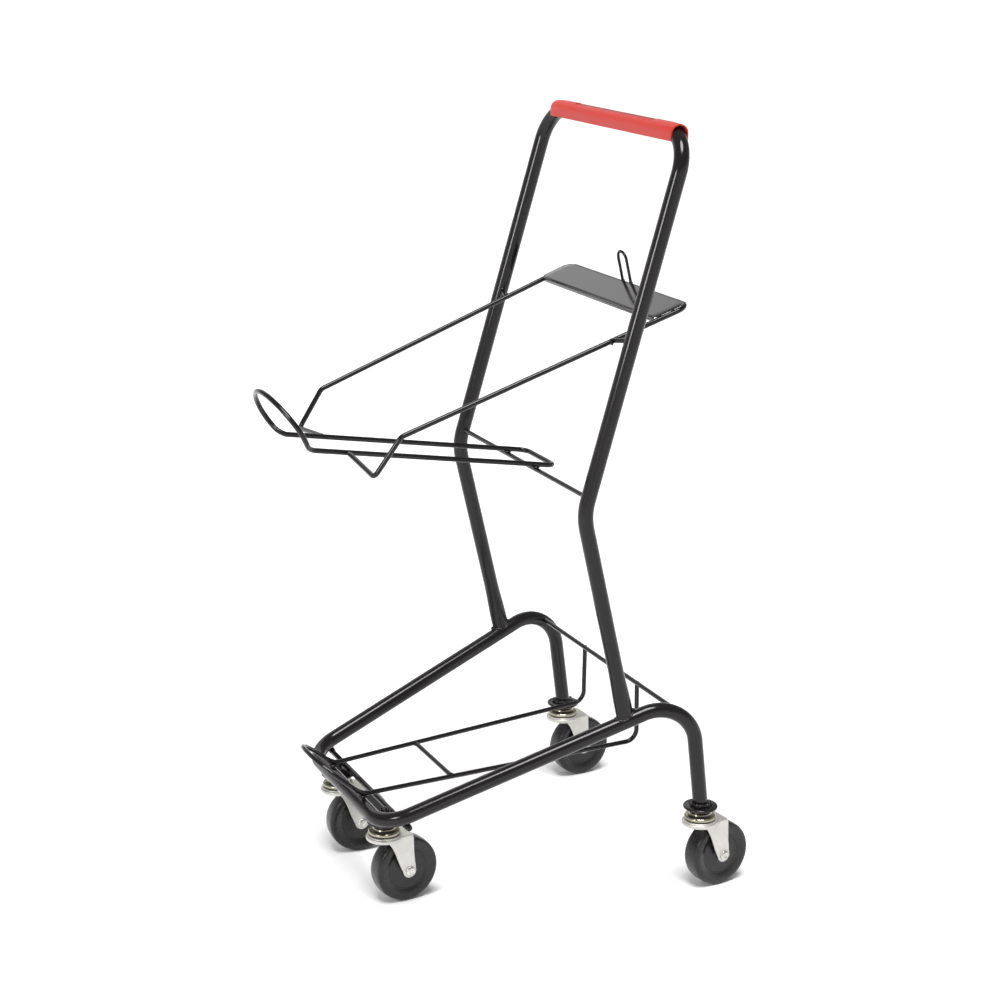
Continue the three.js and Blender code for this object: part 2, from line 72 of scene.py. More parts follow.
LOWER_LOOP = [(57.5, 9), (59.5, 19.5), (56.5, 33.5), (48.5, 47.5), (36, 59.8), (19, 68), (0, 70.6)]
PLATE_T = 1.4
PLATE_FRONT_Y = 179.5
PLATE_REAR_Y = 220.6
PLATE_FLANGE = 7.2
GRIP_HALF = 163.0
GRIP_R = 12.0
GRIP_LIP = 8.9
WHEEL_R = 42.4
WHEEL_W = 26.0
TRAIL = 27.0
FORK_W = 17.6
FORK_T = 2.4
AXLE_R = 4.0
AXLE_Z = 42.4
PIN_R = 5.0
COLLAR_R = 22.0
CROWN_R = 23.2
FRONT_WIRE_Y = -134.2
FRONT_WIRE_Z = 118.8
REAR_WIRE_Y = 203.2
REAR_WIRE_Z = 242.0
CASTERS = [
    ("front_left", 83.0, -145.8, 6, True),
    ("front_right", -83.0, -145.8, -3, True),
    ("rear_left", 199.3, 238.0, 8, False),
    ("rear_right", -199.3, 238.0, 4, False),
]


def mirror(p):
    return (-p[0], p[1], p[2])


def lerp(a, b, t):
    return tuple(x + (y - x) * t for x, y in zip(a, b))


# ------------------------------------------------------------------ materials
def new_material(name):
    m = bpy.data.materials.new(name)
    m.use_nodes = True
    nt = m.node_tree
    return m, nt, nt.nodes["Principled BSDF"]


def node(nt, kind, **values):
    n = nt.nodes.new(kind)
    for k, v in values.items():
        if hasattr(n, k):
            setattr(n, k, v)
        else:
            n.inputs[k.replace("_", " ").title() if k.replace("_", " ").title() in n.inputs else k].default_value = v
    return n


def coords(nt, scale=(1, 1, 1)):
    tc = nt.nodes.new("ShaderNodeTexCoord")
    mp = nt.nodes.new("ShaderNodeMapping")
    mp.inputs["Scale"].default_value = scale
    nt.links.new(tc.outputs["Object"], mp.inputs["Vector"])
    return mp.outputs["Vector"]


def noise_tex(nt, vec, scale, detail=4.0, rough=0.5):
    n = nt.nodes.new("ShaderNodeTexNoise")
    n.inputs["Scale"].default_value = scale
    n.inputs["Detail"].default_value = detail
    n.inputs["Roughness"].default_value = rough
    nt.links.new(vec, n.inputs["Vector"])
    return n.outputs["Fac"]


def ramp(nt, fac, stops):
    r = nt.nodes.new("ShaderNodeValToRGB")
    el = r.color_ramp.elements
    while len(el) < len(stops):
        el.new(0.5)
    for e, (p, c) in zip(el, stops):
        e.position = p
        e.color = (c[0], c[1], c[2], 1) if hasattr(c, "__len__") else (c, c, c, 1)
    nt.links.new(fac, r.inputs["Fac"])
    return r.outputs["Color"]


def mix_colour(nt, fac, a, b, blend="MIX"):
    m = nt.nodes.new("ShaderNodeMix")
    m.data_type = "RGBA"
    m.blend_type = blend
    for sock, val in ((m.inputs["Factor"], fac), (m.inputs[6], a), (m.inputs[7], b)):
        if hasattr(val, "links"):
            nt.links.new(val, sock)
        else:
            sock.default_value = val if not hasattr(val, "__len__") else (val[0], val[1], val[2], 1)
    return m.outputs[2]


def maths(nt, op, a, b):
    m = nt.nodes.new("ShaderNodeMath")
    m.operation = op
    for sock, val in ((m.inputs[0], a), (m.inputs[1], b)):
        if hasattr(val, "links"):
            nt.links.new(val, sock)
        else:
            sock.default_value = val
    return m.outputs[0]


def bump(nt, bsdf, height, strength, distance, after=None):
    b = nt.nodes.new("ShaderNodeBump")
    b.inputs["Strength"].default_value = strength
    b.inputs["Distance"].default_value = distance
    nt.links.new(height, b.inputs["Height"])
    if after is not None:
        nt.links.new(after, b.inputs["Normal"])
    nt.links.new(b.outputs["Normal"], bsdf.inputs["Normal"])
    return b.outputs["Normal"]


def specks(nt, vec, scale, size):
    """Sparse small dots: 1 inside a dot."""
    v = nt.nodes.new("ShaderNodeTexVoronoi")
    v.inputs["Scale"].default_value = scale
    nt.links.new(vec, v.inputs["Vector"])
    inside = maths(nt, "LESS_THAN", v.outputs["Distance"], size)
    sep = nt.nodes.new("ShaderNodeSeparateColor")
    nt.links.new(v.outputs["Color"], sep.inputs[0])
    rare = maths(nt, "GREATER_THAN", sep.outputs[0], 0.72)
    return maths(nt, "MULTIPLY", inside, rare)


def powder_coat(name, base, light, rough, ior=1.39):
    m, nt, b = new_material(name)
    v = coords(nt)
    broad = noise_tex(nt, v, 9.0, 5.0, 0.55)
    colour = mix_colour(nt, broad, base, light)
    dust = specks(nt, v, 420.0, 0.08)
    scuff_mask = ramp(nt, noise_tex(nt, coords(nt, (14, 14, 60)), 3.0, 6.0, 0.62), [(0.66, 0.0), (0.78, 1.0)])
    colour = mix_colour(nt, maths(nt, "MULTIPLY", dust, 0.3), colour, (0.10, 0.095, 0.09))
    colour = mix_colour(nt, maths(nt, "MULTIPLY", scuff_mask, 0.14), colour, (0.035, 0.033, 0.032))
    nt.links.new(colour, b.inputs["Base Color"])
    r = ramp(nt, noise_tex(nt, v, 26.0, 5.0, 0.6), [(0.3, rough * 0.82), (0.75, rough * 1.35)])
    r = maths(nt, "ADD", r, maths(nt, "MULTIPLY", scuff_mask, 0.05))
    r = maths(nt, "ADD", r, maths(nt, "MULTIPLY", dust, 0.07))
    nt.links.new(r, b.inputs["Roughness"])
    b.inputs["IOR"].default_value = ior
    peel = noise_tex(nt, v, 330.0, 2.0, 0.45)
    n1 = bump(nt, b, peel, 0.012, 0.0005)
    bump(nt, b, maths(nt, "ADD", noise_tex(nt, v, 60.0, 2.0, 0.5), dust), 0.008, 0.0009, n1)
    return m


def zinc(name, base, tint, rough, streak=(40, 40, 500), metal=0.92):
    m, nt, b = new_material(name)
    v = coords(nt)
    cloud = noise_tex(nt, v, 45.0, 6.0, 0.6)
    grain = noise_tex(nt, coords(nt, streak), 4.0, 4.0, 0.6)
    colour = mix_colour(nt, ramp(nt, cloud, [(0.35, 0.0), (0.72, 1.0)]), base, tint)
    colour = mix_colour(nt, ramp(nt, grain, [(0.35, 0.0), (0.8, 0.35)]), colour, tuple(c * 0.72 for c in base))
    stain = ramp(nt, noise_tex(nt, v, 150.0, 5.0, 0.65), [(0.60, 0.0), (0.74, 1.0)])
    colour = mix_colour(nt, maths(nt, "MULTIPLY", stain, 0.35), colour, (0.30, 0.25, 0.17))
    nt.links.new(colour, b.inputs["Base Color"])
    b.inputs["Metallic"].default_value = metal
    r = ramp(nt, grain, [(0.25, rough * 0.75), (0.8, rough * 1.5)])
    nt.links.new(maths(nt, "ADD", r, maths(nt, "MULTIPLY", stain, 0.12)), b.inputs["Roughness"])
    n1 = bump(nt, b, grain, 0.10, 0.0004)
    bump(nt, b, noise_tex(nt, v, 700.0, 3.0, 0.6), 0.06, 0.0004, n1)
    return m


def wheel_plastic(name, base, light, rough):
    m, nt, b = new_material(name)
    v = coords(nt)
    mottled = noise_tex(nt, v, 60.0, 6.0, 0.6)
    colour = mix_colour(nt, mottled, base, light)
    dusty = ramp(nt, noise_tex(nt, v, 24.0, 7.0, 0.68), [(0.52, 0.0), (0.80, 1.0)])
    colour = mix_colour(nt, maths(nt, "MULTIPLY", dusty, 0.22), colour, (0.06, 0.055, 0.051))
    grit = specks(nt, v, 700.0, 0.14)
    colour = mix_colour(nt, maths(nt, "MULTIPLY", grit, 0.4), colour, (0.17, 0.16, 0.15))
    nt.links.new(colour, b.inputs["Base Color"])
    r = ramp(nt, mottled, [(0.3, rough * 0.85), (0.75, rough * 1.25)])
    nt.links.new(maths(nt, "ADD", r, maths(nt, "MULTIPLY", dusty, 0.16)), b.inputs["Roughness"])
    b.inputs["IOR"].default_value = 1.44
    n1 = bump(nt, b, noise_tex(nt, v, 520.0, 3.0, 0.5), 0.12, 0.0005)
    bump(nt, b, noise_tex(nt, v, 90.0, 3.0, 0.5), 0.06, 0.0012, n1)
    return m


def red_plastic(name):
    m, nt, b = new_material(name)
    v = coords(nt)
    cloud = noise_tex(nt, v, 18.0, 5.0, 0.55)
    colour = mix_colour(nt, cloud, (0.435, 0.023, 0.016), (0.490, 0.029, 0.020))
    worn = ramp(nt, noise_tex(nt, coords(nt, (5, 60, 60)), 5.0, 6.0, 0.62), [(0.60, 0.0), (0.78, 1.0)])
    colour = mix_colour(nt, maths(nt, "MULTIPLY", worn, 0.16), colour, (0.66, 0.12, 0.10))
    grit = specks(nt, v, 520.0, 0.10)
    colour = mix_colour(nt, maths(nt, "MULTIPLY", grit, 0.35), colour, (0.26, 0.03, 0.025))
    # the shallow panel along the top is darker and duller
    tc = nt.nodes.new("ShaderNodeTexCoord")
    sep = nt.nodes.new("ShaderNodeSeparateXYZ")
    nt.links.new(tc.outputs["Object"], sep.inputs[0])
    py = maths(nt, "SUBTRACT", sep.outputs[1], (TOP[1] - ORIGIN_Y) * 0.001)
    pz = maths(nt, "SUBTRACT", sep.outputs[2], TOP[2] * 0.001)
    across = maths(nt, "ABSOLUTE", py, 0.0)
    inside = maths(nt, "MULTIPLY", maths(nt, "LESS_THAN", across, 0.0055), maths(nt, "GREATER_THAN", pz, 0.009))
    inside = maths(nt, "MULTIPLY", inside, maths(nt, "LESS_THAN", maths(nt, "ABSOLUTE", sep.outputs[0], 0.0), 0.1062))
    colour = mix_colour(nt, maths(nt, "MULTIPLY", inside, 0.75), colour, (0.24, 0.010, 0.008))
    nt.links.new(colour, b.inputs["Base Color"])
    r = ramp(nt, cloud, [(0.3, 0.36), (0.75, 0.50)])
    r = maths(nt, "ADD", r, maths(nt, "MULTIPLY", inside, 0.10))
    nt.links.new(maths(nt, "SUBTRACT", r, maths(nt, "MULTIPLY", worn, 0.08)), b.inputs["Roughness"])
    b.inputs["IOR"].default_value = 1.40
    b.inputs["Subsurface Weight"].default_value = 0.04
    b.inputs["Subsurface Radius"].default_value = (0.004, 0.001, 0.001)
    n1 = bump(nt, b, noise_tex(nt, v, 480.0, 3.0, 0.5), 0.16, 0.0005)
    bump(nt, b, noise_tex(nt, coords(nt, (2, 9, 9)), 22.0, 3.0, 0.5), 0.10, 0.0015, n1)
    return m


PAINT = powder_coat("black_powder_coat", (0.0056, 0.0044, 0.0050), (0.0086, 0.0068, 0.0076), 0.14)
# the sheet has the frame's black paint; its base colour is lifted above the frame's as a painted reflection of the
# pale backdrop, on top of the back_wall lamp's real reflection
SHEET_WITH_PAINTED_REFLECTION = powder_coat("black_sheet_coat_painted_reflection", (0.015, 0.0125, 0.0135), (0.020, 0.017, 0.018), 0.13, 1.52)
ZINC = zinc("zinc_fork", (0.60, 0.59, 0.56), (0.50, 0.485, 0.45), 0.33, (40, 40, 500), 0.72)
RACE = zinc("yellow_zinc_race", (0.42, 0.40, 0.33), (0.31, 0.285, 0.20), 0.20, (60, 60, 60), 0.95)
BOLT = zinc("zinc_bolt", (0.66, 0.65, 0.62), (0.52, 0.50, 0.46), 0.26, (300, 40, 40), 0.95)
TREAD = wheel_plastic("dark_tread", (0.0080, 0.0069, 0.0072), (0.0118, 0.0102, 0.0106), 0.27)
CORE = wheel_plastic("dark_wheel_core", (0.0078, 0.0068, 0.0071), (0.0115, 0.0101, 0.0104), 0.30)
RED = red_plastic("red_grip_plastic")


# ------------------------------------------------------------------ mesh helpers, millimetres in, metres out
def out(p, shift=True):
    return Vector((p[0] * 0.001, (p[1] - (ORIGIN_Y if shift else 0)) * 0.001, p[2] * 0.001))


class Shape:
    """Vertices and faces gathered in millimetres, in the frame's own y."""

    def __init__(self):
        self.v = []
        self.f = []

    def add(self, verts, faces, matrix=None):
        base = len(self.v)
        for p in verts:
            p = Vector(p)
            self.v.append(matrix @ p if matrix is not None else p)
        self.f += [tuple(base + i for i in f) for f in faces]

    def build(self, name, material, body, nodes=(), sharp=32):
        me = bpy.data.meshes.new(name)
        me.from_pydata([out(p) for p in self.v], [], self.f)
        me.validate()
        bm = bmesh.new()
        bm.from_mesh(me)
        bmesh.ops.remove_doubles(bm, verts=bm.verts, dist=1e-7)
        bmesh.ops.recalc_face_normals(bm, faces=bm.faces)
        bm.to_mesh(me)
        bm.free()
        me.polygons.foreach_set("use_smooth", [True] * len(me.polygons))
        me.set_sharp_from_angle(angle=math.radians(sharp))
        me.materials.append(material)
        ob = bpy.data.objects.new(name, me)
        bpy.context.scene.collection.objects.link(ob)
        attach(ob, body)
        if nodes:
            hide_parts(*nodes)
        return ob


def bent(points, radii, step=4.0):
    P = [Vector(p) for p in points]
    pos = [P[0].copy()]
    tan = [(P[1] - P[0]).normalized()]
    for i in range(1, len(P) - 1):
        a = (P[i] - P[i - 1]).normalized()
        b = (P[i + 1] - P[i]).normalized()
        turn = a.angle(b)
        r = radii[i - 1] if hasattr(radii, "__len__") else radii
        if turn < 0.02 or not r:
            pos.append(P[i].copy())
            tan.append((a + b).normalized())
            continue
        back = r * math.tan(turn / 2)
        start = P[i] - a * back
        side = (b - a * a.dot(b)).normalized()
        centre = start + side * r
        n = max(3, math.ceil(math.degrees(turn) / step))
        for k in range(n + 1):
            t = turn * k / n
            pos.append(centre - side * (r * math.cos(t)) + a * (r * math.sin(t)))
            tan.append(a * math.cos(t) + side * math.sin(t))
    pos.append(P[-1].copy())
    tan.append((P[-1] - P[-2]).normalized())
    return pos, tan


def rings(pos, tan, closed=False):
    """Rotation-minimising frames along a path."""
    t0 = tan[0]
    ref = Vector((0, 0, 1)) if abs(t0.z) < 0.9 else Vector((1, 0, 0))
    n = (ref - t0 * ref.dot(t0)).normalized()
    got = [(pos[0], n, t0.cross(n))]
    for i in range(1, len(pos)):
        n = n - tan[i] * n.dot(tan[i])
        n.normalize()
        got.append((pos[i], n, tan[i].cross(n)))
    return got


def tube(shape, pos, tan, radius, sides, bore=None, depth=26.0, round_end=0.0):
    """A swept round bar; with a bore, its two ends are open to that depth."""
    fr = rings(pos, tan)
    verts = []
    faces = []

    def ring(c, n, b, r):
        base = len(verts)
        for k in range(sides):
            a = 2 * math.pi * k / sides
            verts.append(c + n * (r * math.cos(a)) + b * (r * math.sin(a)))
        return base

    def join(a, b):
        for k in range(sides):
            k2 = (k + 1) % sides
            faces.append((a + k, a + k2, b + k2, b + k))

    order = []
    c, n, b = fr[0]
    t = tan[0]
    if bore:
        order.append(ring(c + t * depth, n, b, bore))
        order.append(ring(c + t * 0.25, n, b, bore))
        order.append(ring(c, n, b, bore + 0.25))
        order.append(ring(c, n, b, radius - 0.35))
        order.append(ring(c + t * 0.35, n, b, radius))
    elif round_end:
        for k in range(1, 5):
            a = k / 4 * math.pi / 2
            order.append(ring(c + t * (round_end * (1 - math.sin(a))), n, b, radius - round_end * (1 - math.sin(a)) if False else radius - round_end + round_end * math.sin(a)))
    else:
        order.append(ring(c, n, b, radius))
    first = order[0]
    for c, n, b in fr[1:-1]:
        order.append(ring(c, n, b, radius))
    c, n, b = fr[-1]
    t = tan[-1]
    if bore:
        order.append(ring(c - t * 0.35, n, b, radius))
        order.append(ring(c, n, b, radius - 0.35))
        order.append(ring(c, n, b, bore + 0.25))
        order.append(ring(c - t * 0.25, n, b, bore))
        order.append(ring(c - t * depth, n, b, bore))
    elif round_end:
        for k in range(4, 0, -1):
            a = k / 4 * math.pi / 2
            order.append(ring(c - t * (round_end * (1 - math.sin(a))), n, b, radius - round_end + round_end * math.sin(a)))
    else:
        order.append(ring(c, n, b, radius))
    for a, b2 in zip(order, order[1:]):
        join(a, b2)
    faces.append(tuple(first + k for k in reversed(range(sides))))
    faces.append(tuple(order[-1] + k for k in range(sides)))
    shape.add(verts, faces)


def wire(shape, points, radii, r, sides=20, step=5.0, round_end=0.5):
    pos, tan = bent(points, radii, step)
    tube(shape, pos, tan, r, sides, round_end=round_end)


def blob(shape, centre, radii, seed, axis=None):
    """A small weld bead: a lumpy ellipsoid."""
    verts, faces = [], []
    nu, nv = 16, 9
    rot = Matrix.Identity(3)
    if axis is not None:
        rot = Vector((0, 0, 1)).rotation_difference(Vector(axis)).to_matrix()
    top = len(verts)
    verts.append(Vector((0, 0, 1)))
    for j in range(1, nv):
        th = math.pi * j / nv
        for i in range(nu):
            ph = 2 * math.pi * i / nu
            verts.append(Vector((math.sin(th) * math.cos(ph), math.sin(th) * math.sin(ph), math.cos(th))))
    verts.append(Vector((0, 0, -1)))
    for i in range(nu):
        i2 = (i + 1) % nu
        faces.append((0, 1 + i, 1 + i2))
        for j in range(nv - 2):
            a = 1 + j * nu
            faces.append((a + i, a + nu + i, a + nu + i2, a + i2))
        a = 1 + (nv - 2) * nu
        faces.append((a + i, len(verts) - 1, a + i2))
    done = []
    for v in verts:
        k = 1 + 0.20 * noise.noise(v * 1.7 + Vector((seed * 3.1, seed * 1.7, seed)))
        p = Vector((v.x * radii[0] * k, v.y * radii[1] * k, v.z * radii[2] * k))
        done.append(Vector(centre) + rot @ p)
    shape.add(done, faces)


def bead(shape, loop, radius, seed, pitch=2.4):
    """A closed weld bead laid along a loop of points, rippled like overlapping puddles."""
    n = len(loop)
    verts, faces = [], []
    sides = 12
    length = 0.0
    run = [0.0]
    for i in range(n):
        length += (loop[(i + 1) % n] - loop[i]).length
        run.append(length)
    count = max(3, round(length / pitch))
    centre = sum(loop, Vector()) / n
    for i in range(n):
        t = (loop[(i + 1) % n] - loop[i - 1]).normalized()
        o = (loop[i] - centre)
        o = (o - t * o.dot(t)).normalized()
        b = t.cross(o)
        ph = 2 * math.pi * count * run[i] / length
        k = 1 + 0.13 * math.sin(ph) + 0.16 * noise.noise(Vector((i * 0.21, seed * 2.3, 0.4)))
        for s in range(sides):
            a = 2 * math.pi * s / sides
            verts.append(loop[i] + o * (radius * k * math.cos(a)) + b * (radius * k * math.sin(a)))
    for i in range(n):
        i2 = (i + 1) % n
        for s in range(sides):
            s2 = (s + 1) % sides
            faces.append((i * sides + s, i * sides + s2, i2 * sides + s2, i2 * sides + s))
    shape.add(verts, faces)


def ring_bead(shape, centre, axis, major, minor, seed, n=40):
    axis = Vector(axis).normalized()
    ref = Vector((0, 0, 1)) if abs(axis.z) < 0.9 else Vector((1, 0, 0))
    a = (ref - axis * ref.dot(axis)).normalized()
    b = axis.cross(a)
    bead(shape, [Vector(centre) + a * (major * math.cos(2 * math.pi * k / n)) + b * (major * math.sin(2 * math.pi * k / n)) for k in range(n)], minor, seed)


def round_profile(points, radius, steps=4):
    """Rounds the inner corners of an open [r, z] profile; radius may be one per inner corner."""
    P = [Vector((p[0], p[1])) for p in points]
    got = [P[0]]
    for i in range(1, len(P) - 1):
        r = radius[i - 1] if hasattr(radius, "__len__") else radius
        a = (P[i - 1] - P[i])
        b = (P[i + 1] - P[i])
        la, lb = a.length, b.length
        if r <= 0 or la < 1e-6 or lb < 1e-6:
            got.append(P[i])
            continue
        a.normalize()
        b.normalize()
        d = min(r, la * 0.46, lb * 0.46)
        p0, p2 = P[i] + a * d, P[i] + b * d
        for k in range(steps + 1):
            t = k / steps
            got.append(p0 * (1 - t) ** 2 + P[i] * (2 * t * (1 - t)) + p2 * t * t)
    got.append(P[-1])
    return got


def lathe(shape, profile, sides, matrix):
    """Turns an open [radius, height] profile about local +Z; ends on the axis close by themselves, other ends are
    left open.
    """
    verts, faces, starts = [], [], []
    for r, z in [(p[0], p[1]) for p in profile]:
        if r < 1e-5:
            starts.append((len(verts), 1))
            verts.append(Vector((0, 0, z)))
        else:
            starts.append((len(verts), sides))
            for k in range(sides):
                a = 2 * math.pi * k / sides
                verts.append(Vector((r * math.cos(a), r * math.sin(a), z)))
    for (a, na), (b, nb) in zip(starts, starts[1:]):
        for k in range(sides):
            k2 = (k + 1) % sides
            if na == 1 and nb == 1:
                continue
            if na == 1:
                faces.append((a, b + k, b + k2))
            elif nb == 1:
                faces.append((a + k, b, a + k2))
            else:
                faces.append((a + k, a + k2, b + k2, b + k))
    shape.add(verts, faces, matrix)


def closed_lathe(shape, profile, sides, matrix):
    """Turns a closed [radius, height] outline, none of it on the axis."""
    verts, faces = [], []
    n = len(profile)
    for p in profile:
        for k in range(sides):
            a = 2 * math.pi * k / sides
            verts.append(Vector((p[0] * math.cos(a), p[0] * math.sin(a), p[1])))
    for i in range(n):
        j = (i + 1) % n
        for k in range(sides):
            k2 = (k + 1) % sides
            faces.append((i * sides + k, i * sides + k2, j * sides + k2, j * sides + k))
    shape.add(verts, faces, matrix)


def inset(outline, d):
    """A closed counter-clockwise outline moved inwards by d."""
    n = len(outline)
    got = []
    for i in range(n):
        p, a, b = Vector(outline[i]), Vector(outline[i - 1]), Vector(outline[(i + 1) % n])
        e1 = (p - a).normalized()
        e2 = (b - p).normalized()
        n1 = Vector((-e1.y, e1.x))
        n2 = Vector((-e2.y, e2.x))
        m = n1 + n2
        if m.length < 1e-6:
            m = n1
        m.normalize()
        got.append(p + m * (d / max(0.5, m.dot(n1))))
    return got


def prism(shape, outline, z0, z1, low, high, matrix, steps=4):
    """An outline pulled from z0 to z1, its lower and upper edges rounded."""
    outline = [Vector(p) for p in outline]
    area = sum(a.x * b.y - b.x * a.y for a, b in zip(outline, outline[1:] + outline[:1]))
    if area < 0:
        outline.reverse()
    levels = []
    for k in range(steps + 1):
        a = k / steps * math.pi / 2
        levels.append((z0 + low * (1 - math.sin(a)), low * (1 - math.cos(a)) if False else low * (1 - math.sin(math.acos(max(-1, min(1, 1 - math.sin(a)))))) if low else 0))
        if not low:
            levels = [(z0, 0)]
            break
    tops = []
    if high:
        for k in range(steps + 1):
            a = k / steps * math.pi / 2
            tops.append((z1 - high + high * math.sin(a), high * (1 - math.cos(a))))
    else:
        tops = [(z1, 0)]
    if low:
        levels = []
        for k in range(steps + 1):
            a = math.pi / 2 - k / steps * math.pi / 2
            levels.append((z0 + low - low * math.sin(a), low * (1 - math.cos(a))))
    verts, faces = [], []
    n = len(outline)
    for z, d in levels + tops:
        for p in inset(outline, d) if d else outline:
            verts.append(Vector((p[0], p[1], z)))
    m = len(levels) + len(tops)
    for i in range(m - 1):
        for k in range(n):
            k2 = (k + 1) % n
            faces.append((i * n + k, i * n + k2, (i + 1) * n + k2, (i + 1) * n + k))
    faces.append(tuple(reversed(range(n))))
    faces.append(tuple((m - 1) * n + k for k in range(n)))
    shape.add(verts, faces, matrix)


I4 = Matrix.Identity(4)

# ------------------------------------------------------------------ frame tubes
s = Shape()
pos, tan = bent([LEG_END, REAR_CORNER, FRONT_CORNER, mirror(FRONT_CORNER), mirror(REAR_CORNER), mirror(LEG_END)], [REAR_BEND, FRONT_BEND, FRONT_BEND, REAR_BEND], 3.0)
tube(s, pos, tan, TUBE_R, 48, bore=8.0)
s.build("base_tube", PAINT, "frame", ["base_frame"])

d_up = (Vector(KINK) - Vector(FOOT)).normalized()
foot = tuple(Vector(FOOT) + d_up * 3.0)
s = Shape()
pos, tan = bent([foot, KINK, TOP, mirror(TOP), mirror(KINK), mirror(foot)], [KINK_BEND, TOP_BEND, TOP_BEND, KINK_BEND], 3.0)
low = [pos[0] + tan[0] * (4.0 * i) for i in range(1, 24)]
end_low = [pos[-1] - tan[-1] * (4.0 * i) for i in range(23, 0, -1)]
pos = [pos[0]] + low + pos[1:-1] + end_low + [pos[-1]]
tan = [tan[0]] * 24 + tan[1:-1] + [tan[-1]] * 24
tube(s, pos, tan, TUBE_R, 48, bore=8.0)
# the last stretch is pressed narrower across the rail, so it sits on the rail's width
rail_dir = (Vector(FRONT_CORNER) - Vector(REAR_CORNER)).normalized()


def squash(p):
    k = 1 if p.x > 0 else -1
    axis = d_up if k > 0 else Vector(mirror(d_up))
    base = Vector((k * FOOT[0], FOOT[1], FOOT[2]))
    h = (p - base).dot(axis)
    if h > 76:
        return p
    f = min(1.0, max(0.0, (76 - h) / 56))
    f = f * f * (3 - 2 * f)
    o = p - base - axis * h
    ex = (Vector((1, 0, 0)) - axis * axis.x).normalized()
    ey = axis.cross(ex)
    a, b2 = o.dot(ex), o.dot(ey)
    return base + axis * h + ex * (a * (1 - 0.232 * f)) + ey * (b2 * (1 + 0.20 * f))


s.v = [squash(p) for p in s.v]
s.build("handle_tube", PAINT, "frame", ["handle_frame"])

# ------------------------------------------------------------------ hand grip
def grip():
    ri = TUBE_R + 0.3
    section = []  # (angle or straight) outer then lip then inner, closed, as (y, z) with y to the rear
    n = 44
    outer = [(math.pi * i / n) for i in range(n + 1)]
    xs = []
    half = GRIP_HALF
    for e in (0, 0.25, 0.6, 1.1):
        xs.append(-half + e)
    panel = 106.0
    for x in (-140, -125, -panel - 0.9, -panel - 0.45, -panel, -panel + 0.7, -90, -60, -30, 0, 30, 60, 90, panel - 0.7, panel, panel + 0.45, panel + 0.9, 125, 140):
        xs.append(x)
    for e in (1.1, 0.6, 0.25, 0):
        xs.append(half - e)
    shape = Shape()
    verts, faces = [], []
    rows = []
    normal = Vector((0.0, 1.0))
    along = Vector((1.0, 0.0))

    def drop(x):
        # the two ends follow the start of the bends a little
        over = max(0.0, abs(x) - (TOP[0] - TOP_BEND))
        return TOP_BEND - math.sqrt(max(0, TOP_BEND**2 - over**2))

    for x in xs:
        e = half - abs(x)
        shrink = 0.55 * (1 - math.sqrt(max(0.0, 1 - (1 - min(1.0, e / 1.1)) ** 2))) if e < 1.1 else 0.0
        sag = min(0.9, drop(x) * 0.32)
        row = []
        depth = 0.0
        if abs(x) <= panel + 0.9:
            depth = min(1.0, (panel + 0.9 - abs(x)) / 0.9)
        pts = []
        lip = -GRIP_LIP
        # rear lip up over the top to the front lip, then back along the inside
        pts.append((GRIP_R - 0.55 - shrink, lip))
        pts.append((GRIP_R - 0.12 - shrink, lip + 0.35))
        pts.append((GRIP_R - shrink, lip + 1.0))
        for a in outer:
            y, z = (GRIP_R - shrink) * math.cos(a), (GRIP_R - shrink) * math.sin(a)
            p = Vector((y, z))
            h = p.dot(normal)
            t = p.dot(along)
            if depth > 0 and abs(t) < 5.4:
                edge = min(1.0, (5.4 - abs(t)) / 0.5)
                floor_h = 10.35
                if h > floor_h:
                    h2 = h + (floor_h - h) * edge * depth
                    p = along * t + normal * h2
            pts.append((p.x, p.y - sag * max(0.0, p.y / GRIP_R)))
        pts.append((-GRIP_R + shrink, lip + 1.0))
        pts.append((-GRIP_R + 0.12 + shrink, lip + 0.35))
        pts.append((-GRIP_R + 0.55 + shrink, lip))
        pts.append((-ri - 0.5 - shrink * 0.4, lip))
        pts.append((-ri - 0.1 + 0.0, lip + 0.4))
        for a in reversed(outer[::2]):
            y, z = (ri + 0.05) * math.cos(a), (ri + 0.05) * math.sin(a)
            pts.append((y, z - sag * 0.6 * max(0.0, z / ri)))
        pts.append((ri + 0.1, lip + 0.4))
        pts.append((ri + 0.5 + shrink * 0.4, lip))
        base = len(verts)
        for y, z in pts:
            verts.append(Vector((x, TOP[1] + y, TOP[2] + z)))
        rows.append(base)
        m = len(pts)
    for a, b in zip(rows, rows[1:]):
        for k in range(m):
            k2 = (k + 1) % m
            faces.append((a + k, a + k2, b + k2, b + k))
    faces.append(tuple(rows[0] + k for k in range(m)))
    faces.append(tuple(rows[-1] + k for k in reversed(range(m))))
    shape.add(verts, faces)
    shape.build("grip", RED, "frame", ["hand_grip"], sharp=28)


grip()

# ------------------------------------------------------------------ wires
s = Shape()
wire(s, [SIDE_END, SIDE_LOW, SIDE_HIGH, SIDE_REAR, mirror(SIDE_REAR), mirror(SIDE_HIGH), mirror(SIDE_LOW), mirror(SIDE_END)], [7.5, 13, 15, 15, 13, 7.5], SIDE_R, 24, 4.0)
s.build("side_and_shelf_wire", PAINT, "frame", ["shelf_wire"], sharp=70)


def loop_points(front, lean, outline):
    a = math.radians(lean)
    return [(x, front[1] - k * math.sin(a), front[2] + k * math.cos(a)) for x, k in outline]


def smooth_loop(points, n=5):
    """Catmull-Rom through the points, so that the bent loop reads as one curve."""
    P = [Vector(p) for p in points]
    got = []
    for i in range(len(P) - 1):
        p0 = P[max(0, i - 1)]
        p1, p2 = P[i], P[i + 1]
        p3 = P[min(len(P) - 1, i + 2)]
        for k in range(n):
            t = k / n
            got.append(0.5 * ((2 * p1) + (p2 - p0) * t + (2 * p0 - 5 * p1 + 4 * p2 - p3) * t * t + (3 * p1 - p0 - 3 * p2 + p3) * t**3))
    got.append(P[-1])
    return got


